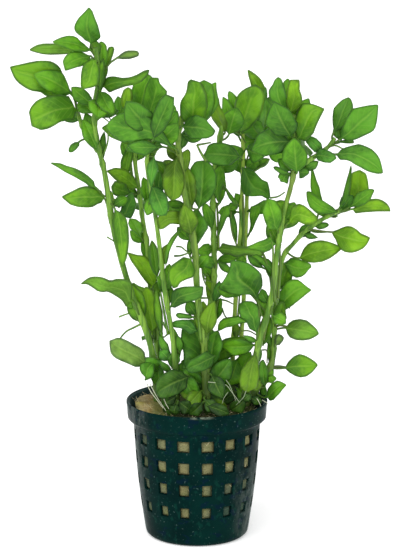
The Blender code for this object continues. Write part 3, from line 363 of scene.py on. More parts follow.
    "d17": Leaf("d", 194, (180, 188), (164, 160), 8.0, 2, 3, "olive", 1),
    "d18": Leaf("d", 226, (188, 218), (168, 207), 6.4, 2, 2, arch=1),
    "d19": Leaf("d", 232, (191, 234), (184, 205), 7.4, -2, -4, "olive", 1),
    "d23": Leaf("d", 126, (203, 124), (204, 80), 8.0, 1, 1, arch=1),
    "d25": Leaf("d", 336, (207, 334), (214, 301), 6.4, -2, -3, "olive", 1),
    "d26": Leaf("d", 340, (202, 335), (203, 301), 6.6, 1, 2, "yellow", 1),
    "d27": Leaf("d", 318, (193, 317), (176, 315), 2.6, 0, -2, "dark", 0.4),
    "d28": Leaf("d", 334, (198, 331), (172, 323), 5.4, 1, 0, "blue"),
    "d31": Leaf("d", 152, (172, 147), (105, 127), 9.5, -12, 3, "dark", 0.8),
    "d32": Leaf("d", 160, (178, 161), (169, 143), 5.2, 2, 1, "olive"),
    "d33": Leaf("d", 138, (182, 135), (203, 138), 4.8, 2, 1, "dark"),
    "d34": Leaf("d", 150, (181, 149), (186, 129), 3.8, 2, 1, "dark"),
    "d35": Leaf("d", 206, (192, 207), (186, 165), 5.8, 2, 1, "olive"),
    "d36": Leaf("d", 238, (190, 240), (177, 227), 4.4, 2, 1),
    "d37": Leaf("d", 256, (190, 257), (189.5, 238), 2.4, 2, 1),
    "d38": Leaf("d", 268, (198, 268), (209, 255), 4.8, 2, 1),
    "d40": Leaf("d", 316, (196, 315), (187, 301), 5.2, 2, 1, "dark"),
    "d41": Leaf("d", 384, (203, 385), (183, 370), 6.0, 1, -1, "dark"),
    "d42": Leaf("d", 384, (211, 385), (231, 359), 8.4, 2, 1, "deep"),
    "d43": Leaf("d", 206, (186, 205), (166, 203), 3.4, 2, 1),
    "d44": Leaf("d", 396, (205, 400), (216, 413), 5.4, -5, -1, "shadow"),
    "d45": Leaf("d", 400, (202, 403), (189, 415), 5.0, -7, -1, "shadow"),
    "d46": Leaf("d", 398, (209, 400), (227, 409), 5.2, -2, 0, "olive"),
    "d47": Leaf("d", 390, (209, 392), (224, 400), 5.4, 1, 0, "shadow"),
    "d48": Leaf("d", 402, (201, 405), (181, 412), 4.8, -4, 0, "shadow"),
    "d49": Leaf("d", 402, (208, 406), (230, 414), 4.8, -7, -1, "shadow"),
    "d50": Leaf("d", 388, (202, 390), (190, 384), 5.4, 1, 0, "shadow"),
    "d51": Leaf("d", 368, (196, 369), (181, 361), 5.2, 2, 1, "deep"),
    "d52": Leaf("d", 380, (205, 380), (196, 367), 5.0, 2, 0, "deep"),

    # The stem behind it
    "e01": Leaf("e", 152, (240, 157), (204, 155), 9.0, -5, -4, "deep", 1.2),
    "e02": Leaf("e", 172, (219, 172), (237, 150), 8.0, 0, 2, arch=1, turn=5, widest=0.45),
    "e03": Leaf("e", 136, (225, 132), (213, 91), 6.4, 0, -2, "olive", 1, turn=15),
    "e05": Leaf("e", 206, (219, 203), (221, 165), 7.4, -1, 1, arch=1, turn=5),
    "e06": Leaf("e", 246, (213, 248), (196, 252), 5.2, 0, -6, arch=1, turn=10),
    "e07": Leaf("e", 250, (218, 250), (266, 249), 5.6, -1, -7, "light", 1, turn=5),
    "e08": Leaf("e", 268, (214, 263), (200, 262), 5.0, -2, -5, "dark", 1, widest=0.45),
    "e10": Leaf("e", 140, (229, 134), (237, 107), 9.0, 0, 3, arch=1, turn=5, widest=0.45),
    "e12": Leaf("e", 238, (219, 234), (229, 206), 4.6, -1, 1, arch=1),
    "e16": Leaf("e", 190, (226, 190), (238, 207), 1.8, 0, 2, arch=0.4, widest=0.45),
    "e17": Leaf("e", 262, (218, 262), (231, 273), 3.2, -1, -1, arch=0.4),
    "e18": Leaf("e", 306, (214, 302), (220, 281), 3.6, -1, 0, "blue", 0.4),
    "e22": Leaf("e", 338, (209, 336), (200, 332), 9.0, 2, 14, arch=1, widest=0.42),
    "e23": Leaf("e", 228, (212, 229), (204, 202), 4.6, -1, 1),
    "e24": Leaf("e", 204, (220, 203), (224, 177), 4.0, 1, 1),
    "e25": Leaf("e", 262, (217, 261), (238, 257), 4.2, 2, 0),
    "e26": Leaf("e", 308, (211, 307), (207, 271), 3.2, 1, 0, "yellow"),
    "e28": Leaf("e", 380, (210, 385), (220, 368), 4.2, -1, 0, "pale"),
    "e29": Leaf("e", 388, (210, 391), (233, 389), 5.6, 0, 0, "dark"),
    "e30": Leaf("e", 370, (210, 373), (219, 355), 6.0, 1, 0, "deep"),
    "e31": Leaf("e", 318, (216, 320), (220, 298), 4.6, 1, 0),
    "e32": Leaf("e", 276, (213, 278), (203, 266), 4.2, 1, 0),
    "e21": Leaf("e", 190, (212, 187), (204, 181), 9.0, 2, 14, arch=1, widest=0.42),

    # The two stems at the back
    "f01": Leaf("f", 132, (241, 133), (256, 85), 13.2, -3, -5, "bright", 1.4),
    "f02": Leaf("f", 134, (236, 116), (229, 91), 4.4, 1, 1, arch=0.5, turn=20),
    "f04": Leaf("f", 142, (239, 137), (223, 97), 8.0, 2, -1, arch=1, turn=5),
    "f05": Leaf("f", 152, (247, 149), (266, 155), 7.0, -2, -5, "dark", 1, widest=0.45),
    "f06": Leaf("f", 172, (243, 168), (270, 198), 10.4, -3, -4, "dark", 1.2),
    "f07": Leaf("f", 204, (238, 204), (227, 211), 3.4, 0, -2, arch=0.5, turn=10, widest=0.45),
    "f10": Leaf("f", 158, (240, 160), (230, 145), 6.0, -2, -2, widest=0.45),
    "f11": Leaf("f", 206, (230, 208), (237, 244), 2.6, -1, -2, "dark", 0.4, widest=0.42),
    "f12": Leaf("f", 178, (241, 173), (235, 151), 6.4, 2, 1),
    "f24": Leaf("f", 266, (238, 268), (243, 255), 4.4, -1, -1, arch=0.5),
    "f25": Leaf("f", 172, (246, 170), (258, 156), 5.0, 1, 1, arch=0.5),
    "f26": Leaf("f", 206, (240, 206), (236, 193), 3.6, 1, 0),
    "f27": Leaf("f", 126, (258, 118), (266, 87), 3.6, -2, 0, "dark"),
    "f29": Leaf("f", 338, (236, 339), (235, 321), 3.2, 0, 0, "olive"),
    "f30": Leaf("f", 212, (237, 212), (218, 212), 5.0, 1, 0),
    "f31": Leaf("f", 390, (236, 393), (221, 403), 5.2, -3, 0, "shadow"),
    "f32": Leaf("f", 386, (237, 389), (248, 399), 5.2, -2, 0),
    "g10": Leaf("g", 390, (244, 393), (257, 403), 4.6, -2, 0, "shadow"),
    "g11": Leaf("g", 382, (243, 385), (230, 376), 5.2, 1, 0, "shadow"),
    "g12": Leaf("g", 140, (260, 139), (267, 121), 6.4, 3, 1, "dark"),
    "g09": Leaf("g", 166, (254, 167), (270, 159), 3.6),
    "f22": Leaf("f", 128, (245, 122), (249, 113), 9.0, 2, 12, arch=1, widest=0.42),
    "g01": Leaf("g", 120, (262, 102), (248, 70), 6.2, 0, -2, "yellow", 0.8, turn=5),
    "g02": Leaf("g", 140, (262, 138), (246, 113), 9.0, -2, -4, "dark", 1, turn=5, widest=0.45),
    "g03": Leaf("g", 236, (249, 234), (260, 205), 5.0, -1, -2, arch=0.5, turn=10),
    "g04": Leaf("g", 150, (268, 147), (289, 158), 8.0, 0, 2, arch=1, widest=0.45),
    "g05": Leaf("g", 118, (266, 113), (277, 92), 7.0, 0, 2, arch=1, widest=0.45),
    "g06": Leaf("g", 132, (263, 128), (266, 98), 6.4, -2, -6, "dark", 1, widest=0.45),
    "g07": Leaf("g", 142, (258, 140), (240, 144), 7.0, 1, 3, arch=1, widest=0.45),
    "g08": Leaf("g", 212, (248, 211), (268, 201), 4.5, -1, -2, "dark", 0.5),
    "g22": Leaf("g", 120, (263, 114), (263, 104), 9.0, 1, 12, arch=1, widest=0.42),
    "g21": Leaf("g", 284, (244, 280), (240, 273), 9.0, 2, 13, arch=1, widest=0.42),

    # The tall stem on the right and its twig
    "h01": Leaf("h", 124, (284, 117), (278, 77), 10.0, 0, 1, "dark", 1),
    "h02": Leaf("h", 122, (292, 113), (299, 80), 8.0, -1, -3, "yellow", 1, turn=5),
    "h03": Leaf("h", 140, (297, 138), (324, 109), 9.2, -1, -4, "bright", 1.4),
    "h04": Leaf("h", 138, (291, 136), (274, 102), 11.0, -3, -4, "deep", 1.4, widest=0.48),
    "h05": Leaf("h", 146, (289, 142), (251, 150), 10.0, -1, 3, "deep", 1.4, turn=5, widest=0.45, bow=-0.6),
    "h06": Leaf("h", 172, (297, 172), (294, 138), 9.6, -3, -4, arch=1),
    "h07": Leaf("h", 178, (289, 174), (273, 167), 3.2, 1, 1, "dark", 0.4, turn=10),
    "h08": Leaf("h", 180, (290, 173), (280, 182), 5.0, 2, 2, "dark", 0.4),
    "h09": Leaf("h", 174, (299, 170), (310, 173), 3.4, 0, 1, "dark", 0.4),
    "h10": Leaf("h_right", 152, (322, 149), (308, 139), 5.4, -1, -2, "blue", turn=5),
    "h11": Leaf("h_right", 158, (316, 157), (336, 158), 5.2, -1, -3, "blue"),
    "h12": Leaf("h_right", 140, (336, 132), (349, 97), 8.8, 0, 3, "deep", 1, turn=5),
    "h13": Leaf("h_right", 141, (341, 138), (378, 105), 12.0, -1, -3, "dark", 1.4),
    "h14": Leaf("h_right", 144, (338, 142), (355, 142), 3.2, 0, 2, "dark", 0.4),
    "h15": Leaf("h_right", 150, (337, 155), (383, 173), 8.0, -1, -3, "dark", 1, turn=5),
    "h16": Leaf("h", 234, (279, 229), (267, 199), 9.4, -1, -2, arch=1, turn=5),
    "h18": Leaf("h", 228, (289, 223), (318, 221), 7.8, -1, -3, "yellow", 1),
    "h19": Leaf("h", 318, (257, 298), (231, 261), 15.0, -2, -5, "deep", 1.6),
    "h20": Leaf("h", 340, (259, 332), (243, 301), 10.0, -1, 3, "dark", 1, turn=5),
    "h21": Leaf("h", 322, (266, 318), (261, 291), 6.2, 1, 3),
    "h22": Leaf("h", 328, (247, 322), (217, 331), 3.6, 0, 3, arch=1, turn=10),
    "h23": Leaf("h", 346, (254, 345), (220, 346), 6.6, 1, 4, arch=1, widest=0.45),
    "h24": Leaf("h", 354, (255, 353), (247, 393), 6.6, -2, -3, "olive", 1, turn=5),
    "h26": Leaf("h", 304, (273, 316), (286, 323), 5.0, -2, -2, arch=0.4),
    "h27": Leaf("h", 232, (283, 229), (295, 202), 8.2, 1, 3, arch=1),
    "h28": Leaf("h", 126, (290, 114), (288, 78), 7.4, 2, 4, arch=1),
    "h29": Leaf("h", 142, (297, 127), (309, 98), 8.4, 1, 3, arch=1),
    "h30": Leaf("h", 160, (293, 152), (266, 133), 9.0, 2, 4, "dark", 1, widest=0.45),
    "h31": Leaf("h", 248, (275, 244), (247, 247), 4.8, -1, -2),
    "h32": Leaf("h", 272, (275, 268), (250, 257), 3.6, 1, 2, arch=0.5),
    "h33": Leaf("h", 284, (275, 281), (267, 261), 4.4, 1, 2, "bright", 0.5),
    "h35": Leaf("h", 312, (246, 292), (216, 288), 7.4, 3, 4, arch=1),
    "h38": Leaf("h", 228, (284, 226), (280, 200), 7.0, 1, 1, "bright"),
    "h39": Leaf("h", 222, (286, 219), (299, 206), 6.5, 1, 1),
    "h40": Leaf("h", 240, (280, 246), (268, 222), 5.6, 2, 1, "bright"),
    "h41": Leaf("h", 172, (291, 171), (278, 159), 4.4, 1, 0, "dark"),
    "h42": Leaf("h_right", 162, (303, 168), (319, 162), 3.8, 1, 0, "dark"),
    "h44": Leaf("h", 342, (263, 345), (269, 315), 5.8, 2, 1, "bright"),
    "h45": Leaf("h", 360, (258, 364), (259, 344), 2.4, 1, 1, "dark"),
    "h49": Leaf("h", 300, (268, 303), (261, 289), 4.2, 2, 1, "dark"),
    "h57": Leaf("h_right", 142, (341, 140), (337, 124), 4.6, 1, 1, "dark"),
    "h50": Leaf("h", 270, (263, 268), (247, 256), 3.0, 2, 1, "dark"),
    "h51": Leaf("h", 126, (293, 127), (291, 104), 6.2, 3, 1),
    "h52": Leaf("h", 394, (245, 399), (230, 411), 5.8, -4, 0, "shadow"),
    "h53": Leaf("h", 392, (250, 397), (262, 404), 4.0, -1, 0, "shadow"),
    "h54": Leaf("h", 398, (243, 401), (251, 394), 4.0, -4, 0, "shadow"),
    "h55": Leaf("h", 376, (251, 379), (259, 391), 5.0, 1, 0, "olive"),
    "h56": Leaf("h", 146, (295, 146), (289, 131), 5.0, 2, 1),
    "h36": Leaf("h", 344, (257, 342), (244, 336), 2.4, 0, -2, "dark", 0.4),
    "h37": Leaf("h", 154, (298, 150), (305, 144), 9.0, 2, 13, arch=1, widest=0.42),

    # The stem on the right that ends in the lower branch
    "i01": Leaf("i", 222, (320, 207), (312, 168), 4.2, 0, 1, arch=0.8, turn=20),
    "i02": Leaf("i", 212, (337, 212), (307, 192), 6.4, -1, -3, arch=1, turn=5),
    "i03": Leaf("i", 213, (347, 208), (360, 170), 9.0, 2, 1, "yellow", 1),
    "i04": Leaf("i", 212, (340, 207), (351, 165), 3.2, -2, -3, "dark", 0.8, turn=20),
    "i05": Leaf("i", 209, (350, 206), (374, 190), 7.0, -1, -2, arch=1, turn=5),
    "i06": Leaf("i", 209, (353, 209), (391, 211), 5.6, -1, 2, "yellow", 1, turn=15),
    "i07": Leaf("i", 228, (332, 232), (370, 238), 9.2, -2, -3, "yellow", 1.2),
    "i08": Leaf("i", 252, (300, 258), (342, 248), 8.6, -2, -3, "yellow", 1.2),
    "i09": Leaf("i", 268, (285, 264), (312, 267), 6.6, 2, 2, arch=1, turn=10),
    "i10": Leaf("i", 326, (276, 322), (284, 302), 7.0, -2, -2, "bright", 0.8),
    "i13": Leaf("i", 318, (279, 307), (311, 290), 9.0, -1, -3, arch=1.2),
    "i14": Leaf("i", 330, (286, 328), (319, 334), 8.2, -1, -1, "light", 1.2),
    "i15": Leaf("i", 367, (285, 368), (318, 365), 8.6, 0, 1, "bright", 1.2),
    "i16": Leaf("i", 391, (267, 397), (286, 385), 5.4, -4, -2, arch=1),
    "i17": Leaf("i", 382, (268, 382), (276, 378), 3.6, -1, -1, arch=0.4),
    "i18": Leaf("i", 348, (275, 345), (282, 335), 4.0, -1, 1, "pale", 0.4),
    "i19": Leaf("i", 348, (271, 346), (265, 337), 3.6, 0, 2, arch=0.4),
    "i22": Leaf("i", 236, (304, 234), (318, 238), 2.6, 0, -1, "dark", 0.3, widest=0.4),
    "i23": Leaf("i", 226, (315, 226), (329, 225), 2.8, 0, -1, "dark", 0.3),
    "i24": Leaf("i", 216, (337, 216), (311, 207), 4.4, 2, 0),
    "i25": Leaf("i", 236, (299, 237), (312, 225), 4.4, 2, 0, "dark"),
    "i26": Leaf("i", 364, (271, 365), (269, 342), 3.2, 2, 1),
    "i27": Leaf("i", 378, (267, 379), (273, 369), 3.4),
    "i28": Leaf("i", 396, (266, 400), (262, 380), 3.0, 1, 1, "dark"),
    "i30": Leaf("i", 288, (281, 288), (291, 259), 6.5, 3, 1, "bright"),
    "i31": Leaf("i", 214, (342, 211), (353, 195), 5.4, 1, 0, "blue"),
    "i21": Leaf("i", 312, (276, 308), (283, 303), 8.0, 2, 13, "bright", 1, widest=0.42),
    "i20": Leaf("i", 388, (265, 386), (263, 360), 5.6, 0, -1, "dark"),

    # Leaves low among the stems
    "c20": Leaf("c", 378, (188, 377), (156, 393), 10.5, -4, -6, "shadow", 1.4),
    "c21": Leaf("c", 372, (184, 374), (196, 399), 7.6, 0, -2, "dark", 1),
    "d20": Leaf("d", 376, (212, 376), (223, 399), 7.0, -3, -4, "shadow", 1, widest=0.45),
    "d21": Leaf("d", 392, (201, 391), (187, 406), 6.0, -2, -4, "olive", 0.8),
    "e20": Leaf("e", 362, (213, 359), (248, 341), 8.4, -1, -2, "bright", 1, turn=5),
    "f20": Leaf("f", 364, (237, 360), (227, 386), 8.6, -3, -4, arch=1),
    "f21": Leaf("f", 374, (241, 380), (250, 352), 7.0, -2, -2, arch=1),
}


# How much of a stem has turned brown, or yellow where it is below zero
BROWNED = {"b": 0.2, "d": 0.65, "e": 0.1, "f": -0.9, "g": -0.9, "h": 0.4, "c": 0.1}

# The slots of the leaves whose finish is another shade than the one they are painted in
LEAF_SLOTS = {"a01": "mid", "a09": "mid", "a23": "mid", "b09": "bright", "c05": "dark", "c06": "mid",
              "d03": "mid", "d06": "dark", "d12": "yellow", "d14": "dark", "e01": "dark", "e07": "mid",
              "g01": "light", "h05": "mid", "h12": "dark", "h13": "bright", "h15": "mid", "h16": "bright",
              "h19": "mid", "i07": "bright", "i08": "mid", "i14": "mid"}

# Slim shoots, bare petioles and curls: their stem, their radius in mm and the places they pass
STROKES = [
    ("a", 0.30, [(119, 317, -1), (124, 315, -1), (130, 313.5, -1), (134, 316, -1), (140, 323, -1)]),
    ("a", 0.38, [(141, 324, -1), (133, 328, -2), (127, 331, -3), (122, 336, -4), (119, 341, -4)]),
    ("a", 0.28, [(107, 237, -4), (112, 240, -4), (118, 244, -3)]),
    ("a", 0.28, [(97, 116, -5), (103, 117.5, -5), (109, 122, -4)]),
    ("a", 0.28, [(101, 112, -5), (107, 115, -5), (111, 120, -4)]),
    ("a", 0.35, [(103, 155, -5), (106, 148, -6), (108, 140, -6), (108, 131, -6)]),
    ("b", 0.28, [(153, 262, 13), (152, 255, 12), (154, 251, 12), (158, 252, 12)]),
    ("b", 0.35, [(150, 257, 13), (155, 263, 13), (160, 268, 12)]),
    ("b", 0.60, [(133, 187, 16), (131, 168, 17), (130, 152, 18)]),
    ("b", 0.70, [(151, 340, 8), (146, 314, 8), (142, 292, 9)]),
    ("b", 0.60, [(155, 342, 8), (153, 312, 9), (152, 290, 10)]),
    ("b", 0.60, [(159, 340, 6), (157, 318, 7), (157, 298, 8)]),
    ("c", 0.50, [(149, 188, -17), (148, 170, -18), (146, 152, -20)]),
    ("c", 0.40, [(154, 188, -17), (153, 170, -18), (150, 153, -20)]),
    ("c", 0.35, [(157, 149, -22), (155, 154, -21), (152, 161, -20)]),
    ("c", 0.50, [(168, 334, -8), (164, 312, -9), (160.5, 292, -10)]),
    ("c", 0.35, [(163, 322, -8), (165, 327, -8), (169, 333, -8)]),
    ("c", 0.50, [(176, 368, -7), (174, 350, -7), (172, 333, -8)]),
    ("d", 0.50, [(206, 161, -10), (201, 153, -11), (197, 145, -12)]),
    ("d", 0.40, [(197, 145, -12), (203, 144, -12), (211, 142.5, -12)]),
    ("d", 0.32, [(176, 246.5, -9), (181, 247, -9), (185, 250, -9), (191, 255, -10)]),
    ("d", 0.38, [(174, 256, -9), (181, 255.5, -9), (191, 252, -10)]),
    ("d", 0.60, [(201, 342, -9), (199, 318, -10), (199, 300, -10)]),
    ("d", 0.60, [(207, 342, -8), (208, 318, -9), (209, 300, -9)]),
    ("e", 0.45, [(221, 182, 13), (226, 189, 13), (232, 197, 14), (238, 205, 15)]),
    ("e", 0.50, [(218.5, 250, 11), (218, 225, 12), (217, 203, 13)]),
    ("e", 0.30, [(202, 268, 6), (203, 277, 6), (206, 285, 7), (212, 294, 9)]),
    ("e", 0.30, [(212, 282, 8), (205, 279, 7), (204, 276, 7), (206, 274, 7), (209, 276, 7)]),
    ("e", 0.40, [(200, 298, 7), (209, 298, 8)]),
    ("e", 0.30, [(222, 308, 9), (225, 316, 9), (229, 319, 9)]),
    ("e", 0.60, [(210, 334, 7), (215, 315, 8), (218, 300, 9)]),
    ("f", 0.35, [(233, 131, 30), (240, 134.5, 30), (246, 143, 30)]),
    ("f", 0.50, [(242.5, 247, 20), (243.5, 222, 22), (243, 196, 24)]),
    ("f", 0.45, [(231, 208, 23), (231, 222, 22), (233, 235, 21), (237, 246, 20)]),
    ("f", 0.40, [(238, 318, 13), (239.5, 296, 16)]),
    ("f", 0.35, [(270, 198, 24), (278, 196.5, 24), (285, 192, 24)]),
    ("f", 0.35, [(221, 299.5, 12), (227, 301, 12), (233, 304, 13)]),
    ("g", 0.45, [(251, 173, 30), (262, 166, 30), (266, 163, 30), (269, 159, 30)]),
    ("g", 0.40, [(247, 174, 28), (247, 160, 30), (250, 151, 31)]),
    ("g", 0.40, [(251, 173, 29), (254, 162, 31), (259, 152, 32)]),
    ("h", 0.30, [(241, 331, -5), (249, 331, -5), (258, 336, -5)]),
    ("h", 0.30, [(244, 336, -5), (250, 337, -5), (258, 342, -6)]),
    ("h", 0.38, [(326, 148, -10), (335, 145.5, -11), (343, 149, -11)]),
    ("h", 0.60, [(257, 345, -6), (259, 320, -7), (259, 303, -7)]),
    ("h", 0.55, [(273, 300, -6), (270, 275, -7), (264, 256, -8), (259, 248, -8)]),
    ("h", 0.55, [(278, 298, -6), (280, 270, -7), (279.5, 246, -8)]),
    ("h", 0.45, [(275, 302, -9), (273, 275, -10.5), (273, 250, -11), (270, 232, -11)]),
    ("h", 0.60, [(263, 340, -6), (268, 315, -7), (270, 298, -8)]),
    ("i", 0.30, [(262, 350, 6), (267, 351, 6), (267, 363, 6)]),
    ("i", 0.50, [(273, 329, 8), (279, 325.5, 7), (287, 326.5, 7)]),
    ("i", 0.60, [(269, 368, 7), (278, 366.5, 7), (287, 367.5, 7)]),
    ("i", 0.35, [(308, 229, 5), (318, 230.5, 4), (326, 231.5, 3), (334, 232, 2)]),
]

# Fine pale roots at the mouth of the pot: radius in mm, then the places they pass
ROOTS = [
    (0.22, [(147, 384, -6), (151, 392, -9), (157, 400, -12), (163, 408, -15)]),
    (0.20, [(150, 384, -8), (157, 397, -12), (166, 411, -16)]),
    (0.18, [(164, 399, -12), (166, 404, -14), (169, 409, -16)]),
    (0.17, [(208, 382, -12), (217, 383, -12), (226, 385, -13), (231, 391, -14), (240, 403, -15)]),
    (0.17, [(226, 380, -11), (230, 386, -13), (236, 401, -15)]),
    (0.14, [(228, 392, -13), (224, 398, -14), (222, 404, -15)]),
    (0.13, [(246, 391, -12), (243, 398, -13), (236, 405, -15)]),
    (0.20, [(256, 397, -6), (259, 402, -7), (262, 409, -8)]),
    (0.16, [(262, 400, -5), (267, 403, -6), (268, 406, -7)]),
]

# The leaves that are pieces of their own. The others are fused to their stems.
LEAF_PIECES = """
    a01 a02 a04 a05 a06 a07 a09 a16 a17 a18 a23 a26 b01 b02 b04 b09 c02 c05 c06 d01 d03 d06 d10 d12 d14
    e01 e07 f01 f06 g01 h01 h02 h03 h05 h12 h13 h15 h16 h19 h20 i01 i03 i06 i07 i08 i13 i14 i15 i16
""".split()

